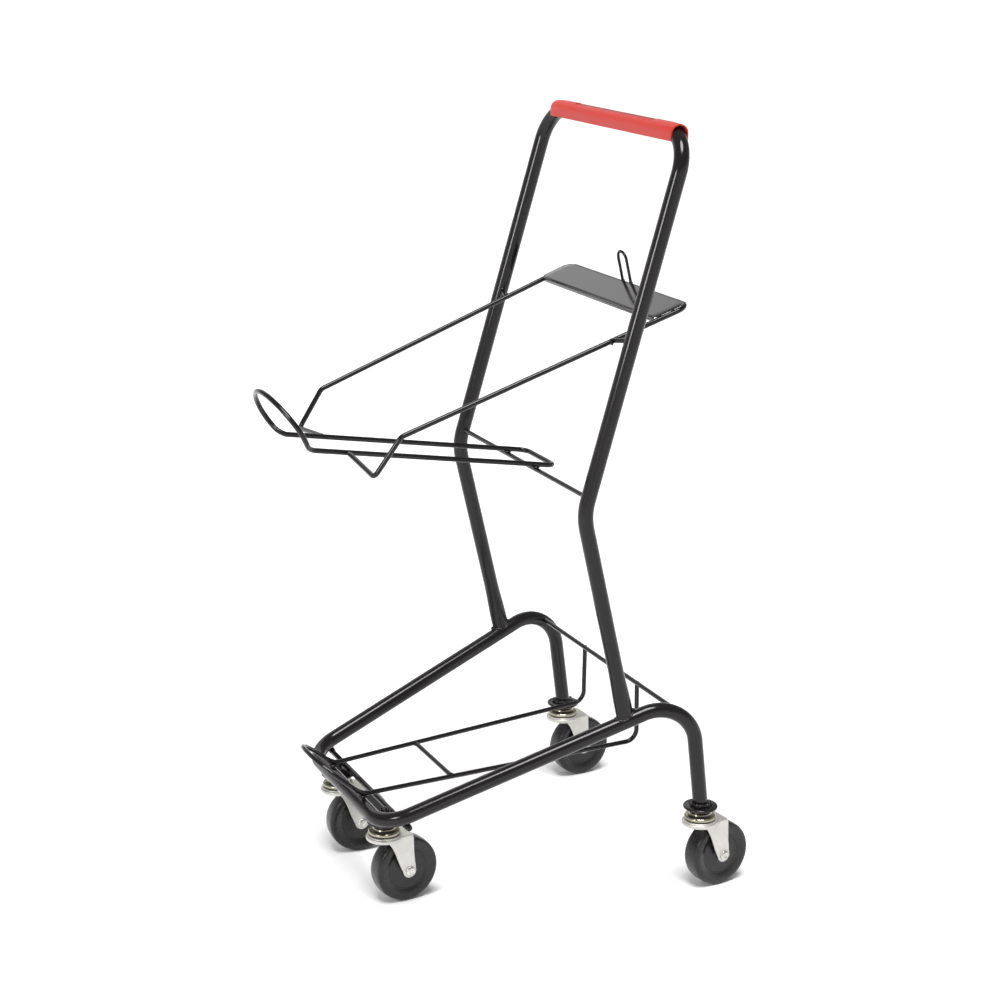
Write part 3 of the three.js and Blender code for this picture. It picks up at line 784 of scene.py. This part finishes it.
def with_tangents(P):
    tan = []
    for i in range(len(P)):
        a = P[max(0, i - 1)]
        b = P[min(len(P) - 1, i + 1)]
        tan.append((b - a).normalized())
    return P, tan


def dedupe(P, gap=0.4):
    got = [P[0]]
    for p in P[1:]:
        if (p - got[-1]).length > gap:
            got.append(p)
    return got


def relaxed(points, step=2.4, rounds=14):
    """The points resampled at an even step and eased, its two ends held."""
    P = [Vector(p) for p in points]
    run = [0.0]
    for a, b in zip(P, P[1:]):
        run.append(run[-1] + (b - a).length)
    n = max(4, round(run[-1] / step))
    got, j = [], 0
    for i in range(n + 1):
        d = run[-1] * i / n
        while j < len(P) - 2 and run[j + 1] < d:
            j += 1
        seg = max(1e-9, run[j + 1] - run[j])
        got.append(P[j].lerp(P[j + 1], min(1.0, max(0.0, (d - run[j]) / seg))))
    for _ in range(rounds):
        nxt = [p.copy() for p in got]
        for i in range(1, len(got) - 1):
            nxt[i] = got[i] * 0.5 + (got[i - 1] + got[i + 1]) * 0.25
        got = nxt
    return got


loop = loop_points(RUNNER_FRONT, UPPER_LEAN, UPPER_LOOP)
half = [(0.3, RUNNER_REAR[1], RUNNER_REAR[2]), RUNNER_REAR, RUNNER_FRONT] + loop
whole = half + [mirror(p) for p in half[:-1][::-1]]
whole = [(x, y + LOOP_SKEW * x if y < -200 else y, z) for x, y, z in whole]
pos, tan = bent(whole, [12, 12] + [14] * (2 * len(loop) - 1) + [12, 12], 5.0)
i0 = next(i for i, p in enumerate(pos) if p.y < -196)
i1 = len(pos) - next(i for i, p in enumerate(reversed(pos)) if p.y < -196)
pos = pos[:i0] + relaxed(pos[i0:i1]) + pos[i1:]
pos = dedupe(pos)
pos, tan = with_tangents(pos)
s = Shape()
tube(s, pos, tan, RUNNER_R, 24, round_end=0.4)
s.build("runner", PAINT, "frame", ["runner_wire"], sharp=70)

loop = loop_points(RACK_FRONT, LOWER_LEAN, LOWER_LOOP)
half = [(RACK_REAR[0] - 2, RACK_REAR[1], RACK_TOP_Z), RACK_REAR, RACK_FRONT] + loop
whole = half + [mirror(p) for p in half[:-1][::-1]]
pos, tan = bent(whole, [16, 14] + [14] * (2 * len(loop) - 1) + [14, 16], 5.0)
i0 = next(i for i, p in enumerate(pos) if p.y < -150)
i1 = len(pos) - next(i for i, p in enumerate(reversed(pos)) if p.y < -150)
pos = dedupe(pos[:i0] + relaxed(pos[i0:i1]) + pos[i1:])
pos, tan = with_tangents(pos)
s = Shape()
tube(s, pos, tan, RACK_R, 24, round_end=0.5)
s.build("rack", PAINT, "frame", ["rack_wire"], sharp=70)

MID_Y = 77.6
MID_Z = RUNNER_REAR[2] + (RUNNER_FRONT[2] - RUNNER_REAR[2]) * (MID_Y - RUNNER_REAR[1]) / (RUNNER_FRONT[1] - RUNNER_REAR[1]) - RUNNER_R - BAR_R - 0.4
end = KINK[0] - TUBE_R + 1.0
s = Shape()
wire(s, [(-end, MID_Y, MID_Z), (end, MID_Y, MID_Z)], 0, BAR_R)
s.build("middle_crossbar", PAINT, "frame", ["mid_crossbar"])

welds = Shape()
for name, k in (("left", 1), ("right", -1)):
    a = Vector(lerp(SIDE_HIGH, SIDE_REAR, (124.5 - SIDE_HIGH[1]) / (SIDE_REAR[1] - SIDE_HIGH[1])))
    up = Vector(lerp(KINK, TOP, (715 - KINK[2]) / (TOP[2] - KINK[2])))
    d = (up - a).normalized()
    p0, p1 = a + d * 1.5, up - d * (TUBE_R - 1.0)
    s = Shape()
    wire(s, [(k * p0.x, p0.y, p0.z), (k * p1.x, p1.y, p1.z)], 0, BAR_R)
    s.build("stub_" + name, PAINT, "frame", ["shelf_stub_" + name])
    q = up - d * (TUBE_R + 0.2)
    ring_bead(welds, (k * q.x, q.y, q.z), (k * d.x, d.y, d.z), 3.3, 1.5, 3 + k)
    q = a + d * 3.6
    blob(welds, (k * q.x, q.y - 4.2, q.z - 1.2), (2.4, 4.6, 2.2), 11 + k, (0, 0.9, 0.33))
    blob(welds, (k * q.x, q.y + 4.0, q.z + 1.2), (2.2, 3.8, 2.0), 14 + k, (0, 0.9, 0.33))

# ------------------------------------------------------------------ shelf plate
def plate():
    r = 3.0
    u1 = (PLATE_REAR_Y - PLATE_FRONT_Y) / math.cos(TILT)
    rows = []  # (u, w, nu, nw, halfwidth)
    xf, xr, rr = 157.4, 159.6, 13.0
    notch = 153.2

    def width(u):
        f = max(0.0, u) / u1
        w = xf + (xr - xf) * f
        over = u - (u1 - rr)
        if over > 0:
            w = w - (rr - math.sqrt(max(0.0, rr * rr - over * over)))
        return w

    for k in range(4):
        w = -PLATE_FLANGE + (PLATE_FLANGE - r) * k / 4
        rows.append((0.0, w, -1.0, 0.0, notch - (0.9 if k == 0 else 0.25 if k == 1 else 0)))
    for k in range(9):
        a = math.pi - k / 8 * math.pi / 2
        rows.append((r + r * math.cos(a), -r + r * math.sin(a), math.cos(a), math.sin(a), notch if k < 6 else notch + (xf - notch) * (k - 5) / 3))
    flat = [4.5, 8, 14, 20, 26, u1 - rr]
    for k in range(1, 13):
        flat.append(u1 - rr + rr * math.sin(k / 12 * math.pi / 2 * 0.995))
    for u in flat:
        rows.append((u, 0.0, 0.0, 1.0, width(u)))
    cols = 25
    su = Vector((0, math.cos(TILT), math.sin(TILT)))
    nw = Vector((0, -math.sin(TILT), math.cos(TILT)))
    z0 = SIDE_HIGH[2] + (SIDE_REAR[2] - SIDE_HIGH[2]) * (PLATE_FRONT_Y - SIDE_HIGH[1]) / (SIDE_REAR[1] - SIDE_HIGH[1])
    origin = Vector((0, PLATE_FRONT_Y, z0)) + nw * (SIDE_R + PLATE_T + 0.2)
    verts, faces = [], []
    shape = Shape()
    edge = 0.45

    def layer(offset, shrink):
        base = len(verts)
        for i, (u, w, nu, nv, hw) in enumerate(rows):
            for c in range(cols):
                x = -1 + 2 * c / (cols - 1)
                uu, ww = u - nu * offset, w - nv * offset
                if i == len(rows) - 1:
                    uu -= shrink
                if i == 0:
                    ww += shrink
                verts.append(origin + su * uu + nw * ww + Vector((x * (hw - shrink), 0, 0)))
        return base

    layers = [layer(0.0, edge), layer(0.13, edge * 0.29), layer(edge, 0.0), layer(PLATE_T - edge, 0.0), layer(PLATE_T - 0.13, edge * 0.29), layer(PLATE_T, edge)]
    nr = len(rows)

    def quad_grid(base, flip):
        for i in range(nr - 1):
            for c in range(cols - 1):
                q = (base + i * cols + c, base + i * cols + c + 1, base + (i + 1) * cols + c + 1, base + (i + 1) * cols + c)
                faces.append(q[::-1] if flip else q)

    quad_grid(layers[0], False)
    quad_grid(layers[-1], True)
    rim = [i * cols for i in range(nr)] + [(nr - 1) * cols + c for c in range(1, cols)] + [i * cols + cols - 1 for i in range(nr - 2, -1, -1)] + [c for c in range(cols - 2, 0, -1)]
    for a, b in zip(layers, layers[1:]):
        for k in range(len(rim)):
            k2 = (k + 1) % len(rim)
            faces.append((a + rim[k], a + rim[k2], b + rim[k2], b + rim[k]))
    used = sorted({i for f in faces for i in f})
    remap = {i: n for n, i in enumerate(used)}
    shape.add([verts[i] for i in used], [tuple(remap[i] for i in f) for f in faces])
    shape.build("shelf_sheet", SHEET_WITH_PAINTED_REFLECTION, "frame", ["shelf_plate"], sharp=40)
    return origin, su, nw, u1


p_origin, p_su, p_nw, p_u1 = plate()

lean = math.radians(13)


def up_at(h):
    return (0, SIDE_REAR[1] - h * math.sin(lean), SIDE_REAR[2] + h * math.cos(lean))


a, t = up_at(1.0), up_at(43.5)
w = 11.0
s = Shape()
wire(s, [(w, a[1], a[2]), (w, t[1], t[2]), (-w, t[1], t[2]), (-w, a[1], a[2])], w - 0.6, HAIRPIN_R, 20, 5.0)
s.build("hairpin", PAINT, "frame", ["shelf_hairpin"])
for k in (-1, 1):
    q = up_at(3.4)
    ring_bead(welds, (k * w, q[1], q[2]), (0, -math.sin(lean), math.cos(lean)), 1.9, 1.0, 21 + k, 24)
    for f in (0.2, 0.62):
        q = p_origin + p_su * (p_u1 * f) - p_nw * 3.1
        xx = 150.4 + 2.6 * f
        blob(welds, (k * xx, q.y, q.z), (1.5, 4.4, 1.4), 31 + k + f, None)

# ------------------------------------------------------------------ lower wires
s = Shape()
xw = 190.5
wire(s, [(-xw, REAR_WIRE_Y, REAR_WIRE_Z), (xw, REAR_WIRE_Y, REAR_WIRE_Z)], 0, BAR_R)
s.build("rear_wire", PAINT, "frame", ["rear_cross_wire"])
f = (-45 - RACK_REAR[1]) / (RACK_FRONT[1] - RACK_REAR[1])
rx = RACK_REAR[0] + (RACK_FRONT[0] - RACK_REAR[0]) * f
rz = RACK_REAR[2] + (RACK_FRONT[2] - RACK_REAR[2]) * f
s = Shape()
wire(s, [(-(rx - 1.6), -45, rz), (rx - 1.6, -45, rz)], 0, RACK_R)
s.build("rack_rung", PAINT, "frame", ["rack_cross_wire"])
s = Shape()
h0, h1 = (138.5, FRONT_WIRE_Y, FRONT_WIRE_Z + 1.4), (129, FRONT_WIRE_Y, FRONT_WIRE_Z)
wire(s, [h0, h1, mirror(h1), mirror(h0)], 10, FRONT_WIRE_R, 24, 5.0, 0.9)
s.build("front_wire", PAINT, "frame", ["front_cross_wire"])

# ------------------------------------------------------------------ weld beads
for k in (-1, 1):
    # the upright's foot coped onto the rail
    axis = d_up if k > 0 else Vector(mirror(d_up))
    p0 = Vector((k * FOOT[0], FOOT[1], FOOT[2]))
    ra = Vector((k * REAR_CORNER[0], REAR_CORNER[1], REAR_CORNER[2]))
    rb = Vector((k * FRONT_CORNER[0], FRONT_CORNER[1], FRONT_CORNER[2]))
    rd = (rb - ra).normalized()
    e1 = (Vector((1, 0, 0)) - axis * axis.x).normalized()
    e2 = axis.cross(e1)
    ring = []
    for i in range(72):
        th = 2 * math.pi * i / 72
        q = p0 + e1 * (math.cos(th) * 7.4) + e2 * (math.sin(th) * 11.5)
        # distance from the rail's axis along the upright's direction
        m = q - ra
        mp = m - rd * m.dot(rd)
        ap = axis - rd * axis.dot(rd)
        A, B, Cc = ap.dot(ap), 2 * mp.dot(ap), mp.dot(mp) - (TUBE_R + 0.05) ** 2
        disc = max(0.0, B * B - 4 * A * Cc)
        h = (-B + math.sqrt(disc)) / (2 * A)
        ring.append(q + axis * h)
    bead(welds, ring, 1.45, 40 + k, 2.6)
    for i, rad in ((18, 3.0), (54, 3.0)):
        blob(welds, ring[i] + axis * 0.4, (rad * 1.25, rad * 1.1, rad * 0.95), 43 + i * k)
    # cross bar to upright and to the runners
    ring_bead(welds, (k * (KINK[0] - TUBE_R - 0.3), MID_Y, MID_Z), (1, 0, 0), 3.2, 1.3, 50 + k)
    for sy in (-1, 1):
        blob(welds, (k * 42.8, MID_Y + sy * 3.3, MID_Z + 2.9), (3.0, 1.7, 1.5), 60 + k + 2 * sy)
    # rear wire to the legs, and the rack's uprights to it
    ring_bead(welds, (k * 189.8, REAR_WIRE_Y, REAR_WIRE_Z), (1, 0, 0), 3.1, 1.3, 70 + k)
    blob(welds, (k * (RACK_REAR[0] - 1.8), RACK_REAR[1] - 3.2, RACK_TOP_Z - 0.6), (2.4, 2.0, 2.6), 75 + k)
    # rack on the front tube, rung into the rack
    blob(welds, (k * (RACK_FRONT[0] + 2.9), RACK_FRONT[1] + 0.8, RACK_FRONT[2] - 3.0), (2.1, 4.4, 1.7), 80 + k)
    blob(welds, (k * (RACK_FRONT[0] - 2.9), RACK_FRONT[1] + 0.8, RACK_FRONT[2] - 3.0), (2.1, 4.4, 1.7), 83 + k)
    ring_bead(welds, (k * (rx - 3.2), -45, rz), (1, 0, 0), 2.8, 1.1, 86 + k)
    # side wire's turned-in end on the runner
    blob(welds, (k * 48.6, -171.9, 575.9), (1.9, 3.2, 3.2), 90 + k)
    # front wire under the rail
    blob(welds, (k * 134.6, FRONT_WIRE_Y - 1.0, FRONT_WIRE_Z + 2.2), (5.4, 4.6, 4.2), 95 + k)
    blob(welds, (k * 83.0, -139.0, 121.0), (4.2, 1.8, 2.6), 98 + k)
    blob(welds, (k * 83.0, -155.2, 122.0), (4.6, 2.0, 2.2), 102 + k)

# ------------------------------------------------------------------ casters
def arc_points(cx, cy, r, a0, a1, n):
    return [(cx + r * math.cos(a0 + (a1 - a0) * i / n), cy + r * math.sin(a0 + (a1 - a0) * i / n)) for i in range(n + 1)]


def quad(p0, p1, p2, n=8):
    return [tuple((1 - t) ** 2 * a + 2 * t * (1 - t) * b + t * t * c for a, b, c in zip(p0, p1, p2)) for t in [i / n for i in range(n + 1)]]


for cname, cx, cy, yaw, is_front in CASTERS:
    at = Matrix.Translation((cx, cy, 0))
    # collar, welded to the frame
    s = Shape()
    prof = [(0, 103.3), (13.6, 103.3), (14.3, 104.1), (19.6, 107.8), (COLLAR_R - 0.05, 108.9), (COLLAR_R - 0.05, 110.9), (COLLAR_R - 1.2, 111.9), (12.5, 112.7), (6.0, 113.4), (0, 113.4)]
    lathe(s, round_profile(prof, [0.5, 0.8, 1.4, 0.9, 0.9, 0.9, 1.2, 0.4], 4), 72, at)
    s.build(cname + "_collar_ring", PAINT, "frame", [cname + "_collar"])
    if not is_front:
        la = Vector((math.copysign(LEG_END[0], cx), LEG_END[1], LEG_END[2]))
        ring_bead(welds, la + Vector((0, 0, 0.5)), (0, 0, 1), 10.8, 2.4, 110 + cx * 0.01, 56)
        for i in range(7):
            th = -2.2 + i * 0.62 + 0.2 * math.sin(i * 2.1 + cx)
            blob(welds, la + Vector((12.2 * math.cos(th), 12.2 * math.sin(th), 0.7)), (2.9, 3.2, 2.9), 120 + i + cx * 0.01)
    # king pin
    s = Shape()
    pin = [(0, 84.6), (7.0, 84.6), (7.6, 85.2), (7.6, 88.6), (PIN_R, 88.6)]
    if is_front:
        pin += [(PIN_R, 126.0), (3.6, 127.8), (0, 128.4)]
        radius = [0.5, 0.4, 0.3, 0.2, 0.8, 0.8]
    else:
        pin += [(PIN_R, 109.4), (4.2, 110.2), (0, 110.2)]
        radius = [0.5, 0.4, 0.3, 0.2, 0.4, 0.3]
    lathe(s, round_profile(pin, radius, 3), 40, at)
    s.build(cname + "_king_pin", PAINT if is_front else BOLT, "frame", [cname + "_kingpin"])
    # upper race, a pressed cup
    s = Shape()
    race = [(PIN_R + 0.3, 94.5), (19.2, 94.5), (20.3, 95.4), (20.3, 97.8), (18.8, 99.3), (14.4, 100.6), (13.7, 102.7), (PIN_R + 0.3, 102.7)]
    prof = round_profile(race, [0.5, 0.9, 0.9, 1.0, 1.0, 0.6], 5)
    closed_lathe(s, prof, 72, at)
    s.build(cname + "_race_cup", RACE, "frame", [cname + "_upper_race"])

    # fork
    body = cname + "_swivel"
    place = at @ Matrix.Rotation(math.radians(yaw), 4, "Z")
    s = Shape()
    plan = [(CROWN_R * math.cos(a), CROWN_R * math.sin(a)) for a in [math.pi - 0.709 + (math.pi + 1.418) * k / 44 for k in range(45)]]
    end_t = 33.0
    plan += [(FORK_W, end_t - 5)] + arc_points(FORK_W - 4, end_t - 4, 4, 0.0, math.pi / 2, 6) + arc_points(-(FORK_W - 4), end_t - 4, 4, math.pi / 2, math.pi, 6) + [(-FORK_W, end_t - 5)]
    prism(s, plan, 88.6, 91.6, 0.0, 1.7, place, 6)
    # rolled race ring standing on the crown, with the groove above it
    ring_prof = [(0, 90.8), (21.2, 90.8), (21.5, 91.4), (21.3, 92.5), (20.3, 93.3), (12.0, 93.3), (10.6, 92.3), (0, 92.3)]
    lathe(s, round_profile(ring_prof, [0.3, 0.5, 0.9, 0.8, 0.6, 0.5], 4), 72, place)
    # skirt round the front of the crown
    n = 30
    a0, a1 = math.pi - 0.50, 2 * math.pi + 0.50
    verts, faces = [], []
    sec = [(CROWN_R - 1.9, 90.4), (CROWN_R - 0.8, 90.4), (CROWN_R - 0.05, 89.6), (CROWN_R - 0.05, 87.3), (CROWN_R - 0.35, 86.9), (CROWN_R - 1.6, 86.9), (CROWN_R - 1.9, 87.3)]
    for i in range(n + 1):
        th = a0 + (a1 - a0) * i / n
        for r_, z_ in sec:
            verts.append(Vector((r_ * math.cos(th), r_ * math.sin(th), z_)))
    m = len(sec)
    for i in range(n):
        for k in range(m):
            k2 = (k + 1) % m
            faces.append((i * m + k, i * m + k2, (i + 1) * m + k2, (i + 1) * m + k))
    faces.append(tuple(range(m)))
    faces.append(tuple(n * m + k for k in reversed(range(m))))
    s.add(verts, faces, place)
    # legs
    leg = [(-4, 90.2), (-4, 86.8)] + quad((-4, 86.8), (2.6, 80.5), (7.6, 67))[1:] + [(10.0, 60.3), (12.2, 54)]
    leg += arc_points(TRAIL - 0.3, AXLE_Z, 9.0, math.pi + 0.12, 2 * math.pi, 16)
    leg += [(end_t + 0.4, 62), (end_t - 0.2, 74), (end_t - 0.5, 86.6)] + quad((end_t - 0.5, 86.6), (end_t - 0.7, 90.0), (end_t - 5, 90.2), 5)[1:]
    basis = Matrix(((0, 0, 1, 0), (1, 0, 0, 0), (0, 1, 0, 0), (0, 0, 0, 1)))  # outline x -> +Y, outline y -> +Z, depth -> +X
    for side in (1, -1):
        x0 = FORK_W - FORK_T if side > 0 else -FORK_W
        prism(s, leg, x0, x0 + FORK_T, 0.75 if side < 0 else 0.35, 0.75 if side > 0 else 0.35, place @ basis, 4)
        # a pressed boss round the axle hole
        outer = FORK_W if side > 0 else -FORK_W
        lathe(s, [(0, -0.2 * side), (7.9, -0.2 * side), (7.5, 0.22 * side), (6.9, 0.28 * side), (0, 0.28 * side)], 36, place @ Matrix.Translation((outer, TRAIL, AXLE_Z)) @ Matrix.Rotation(math.pi / 2, 4, "Y"))
    s.build(cname + "_fork_body", ZINC, body, [cname + "_fork"], sharp=30)

    wheel_at = place @ Matrix.Translation((0, TRAIL, AXLE_Z)) @ Matrix.Rotation(math.pi / 2, 4, "Y")  # local z -> +X
    s = Shape()
    ax = [(0, -(FORK_W + 3.4)), (AXLE_R - 0.6, -(FORK_W + 3.4)), (AXLE_R, -(FORK_W + 2.8)), (AXLE_R, FORK_W + 0.3), (6.3, FORK_W + 0.3), (6.3, FORK_W + 1.7), (4.4, FORK_W + 3.2), (2.5, FORK_W + 3.35), (1.9, FORK_W + 2.5), (0, FORK_W + 2.4)]
    lathe(s, round_profile(ax, [0.3, 0.3, 0.3, 0.4, 0.6, 1.0, 0.5, 0.5], 3), 40, wheel_at)
    s.build(cname + "_axle_bolt", BOLT, body, [cname + "_axle"])
    s = Shape()
    hexa = [(7.2 * math.cos(math.pi / 3 * i), 7.2 * math.sin(math.pi / 3 * i)) for i in range(6)]
    prism(s, hexa, -(FORK_W + 0.3 + 2.8), -(FORK_W + 0.3), 0.5, 0.2, wheel_at, 3)
    s.build(cname + "_nut", BOLT, body, [cname + "_axle_nut"], sharp=25)

    # wheel
    wb = cname + "_wheel"
    hub = [(AXLE_R + 0.1, -14.6), (8.4, -14.6), (9.2, -11.2), (12.0, -10.4), (22.5, -9.6), (25.9, -9.9), (25.9, 9.9), (22.5, 9.6), (12.0, 10.4), (9.2, 11.2), (8.4, 14.6), (AXLE_R + 0.1, 14.6)]
    s = Shape()
    closed_lathe(s, round_profile(hub, [0.6, 1.2, 1.2, 1.4, 0.6, 0.6, 1.4, 1.2, 1.2, 0.6], 3), 64, wheel_at)
    s.build(cname + "_core", CORE, wb, [cname + "_wheel_hub"])
    hw = WHEEL_W / 2
    tread = [(26.0, -9.8), (27.4, -10.2), (29.4, -11.2), (34.2, -hw + 0.05), (38.8, -hw + 0.3), (41.2, -hw + 1.9), (42.0, -hw + 5.4), (WHEEL_R - 0.05, 0), (42.0, hw - 5.4), (41.2, hw - 1.9), (38.8, hw - 0.3), (34.2, hw - 0.05), (29.4, 11.2), (27.4, 10.2), (26.0, 9.8)]
    s = Shape()
    closed_lathe(s, round_profile(tread, [0.6, 1.2, 1.8, 1.4, 1.3, 2.4, 8.0, 2.4, 1.3, 1.4, 1.8, 1.2, 0.6], 4), 96, wheel_at)
    s.build(cname + "_tread", TREAD, wb, [cname + "_tyre"], sharp=40)

welds.build("weld_beads", PAINT, "frame", (), sharp=60)

# ------------------------------------------------------------------ floor, light and camera
m, nt, b = new_material("pale_floor")
v = coords(nt)
nt.links.new(mix_colour(nt, noise_tex(nt, v, 3.0, 4.0, 0.5), (0.94, 0.94, 0.94), (0.96, 0.96, 0.96)), b.inputs["Base Color"])
b.inputs["Roughness"].default_value = 0.9
b.inputs["Specular IOR Level"].default_value = 0.1
me = bpy.data.meshes.new("floor")
me.from_pydata([(-40, -40, -0.0003), (40, -40, -0.0003), (40, 40, -0.0003), (-40, 40, -0.0003)], [], [(0, 1, 2, 3)])
me.materials.append(m)
floor = bpy.data.objects.new("floor", me)
bpy.context.scene.collection.objects.link(floor)

world = bpy.data.worlds.new("studio")
bpy.context.scene.world = world
world.use_nodes = True
world.node_tree.nodes["Background"].inputs["Color"].default_value = (1.0, 1.0, 1.0, 1)
wt = world.node_tree
# white at the horizon, dimmer overhead, as in a white cove
sky = wt.nodes.new("ShaderNodeTexCoord")
sky_z = wt.nodes.new("ShaderNodeSeparateXYZ")
wt.links.new(sky.outputs["Generated"], sky_z.inputs[0])
fade = wt.nodes.new("ShaderNodeMapRange")
fade.inputs["From Min"].default_value = 0.12
fade.inputs["From Max"].default_value = 0.30
fade.inputs["To Min"].default_value = 1.0
fade.inputs["To Max"].default_value = 0.33
wt.links.new(sky_z.outputs[2], fade.inputs["Value"])
wt.links.new(fade.outputs[0], wt.nodes["Background"].inputs["Strength"])

RIGHT = Vector((0.3975, 0.9176, 0.0))
UP = Vector((0, 0, 1))
BACK = Vector((0.9118, -0.3950, 0.0))
AIM = Vector((0.0, 0.0, 0.5))


def area(name, side, height, towards, distance, w, h, radiance, aim=AIM):
    d = (RIGHT * side + UP * height + BACK * towards).normalized()
    light = bpy.data.lights.new(name, "AREA")
    light.shape = "RECTANGLE"
    light.size, light.size_y = w, h
    light.energy = radiance * math.pi * w * h
    ob = bpy.data.objects.new(name, light)
    ob.location = aim + d * distance
    ob.rotation_mode = "QUATERNION"
    ob.rotation_quaternion = d.to_track_quat("Z", "Y")
    bpy.context.scene.collection.objects.link(ob)
    return ob


def lamp(name, aim, direction, distance, w, h, radiance):
    d = Vector(direction).normalized()
    light = bpy.data.lights.new(name, "AREA")
    light.shape = "RECTANGLE"
    light.size, light.size_y = w, h
    light.energy = radiance * math.pi * w * h
    ob = bpy.data.objects.new(name, light)
    ob.location = Vector(aim) + d * distance
    ob.rotation_mode = "QUATERNION"
    ob.rotation_quaternion = d.to_track_quat("Z", "Y")
    bpy.context.scene.collection.objects.link(ob)
    return ob


overhead = bpy.data.lights.new("overhead", "SUN")
overhead.energy = 3.3
overhead.angle = math.radians(28)
ob = bpy.data.objects.new("overhead", overhead)
ob.rotation_mode = "QUATERNION"
ob.rotation_quaternion = Vector((0.29, -0.11, 0.95)).normalized().to_track_quat("Z", "Y")
bpy.context.scene.collection.objects.link(ob)
lamp("left_box", (0.18, 0.12, 0.85), (0.755, -2.36, 0.65), 2.56, 0.70, 0.60, 18.0)
lamp("back_wall", (0.0, 0.18, 0.73), (-0.88, 0.12, 0.45), 3.0, 2.2, 1.7, 0.78).visible_camera = False

cam = bpy.data.cameras.new("camera")
cam.sensor_fit = "HORIZONTAL"
cam.sensor_width = 36.0
cam.lens = 79.622
cam.shift_x = 0.034867
cam.shift_y = 0.010501
cam.clip_start, cam.clip_end = 0.05, 100.0
cam.dof.use_dof = False
camera = bpy.data.objects.new("camera", cam)
back = Vector((0.88245798, -0.38224761, 0.27414354)).normalized()
right = Vector((0, 0, 1)).cross(back).normalized()
upv = back.cross(right)
camera.matrix_world = Matrix.Translation((2.457247, -1.064387 - ORIGIN_Y * 0.001, 1.236730)) @ Matrix((right, upv, back)).transposed().to_4x4()
bpy.context.scene.collection.objects.link(camera)
bpy.context.scene.camera = camera

vs = bpy.context.scene.view_settings
vs.view_transform = "Standard"
vs.look = "None"
vs.exposure = 0.0
vs.gamma = 1.0
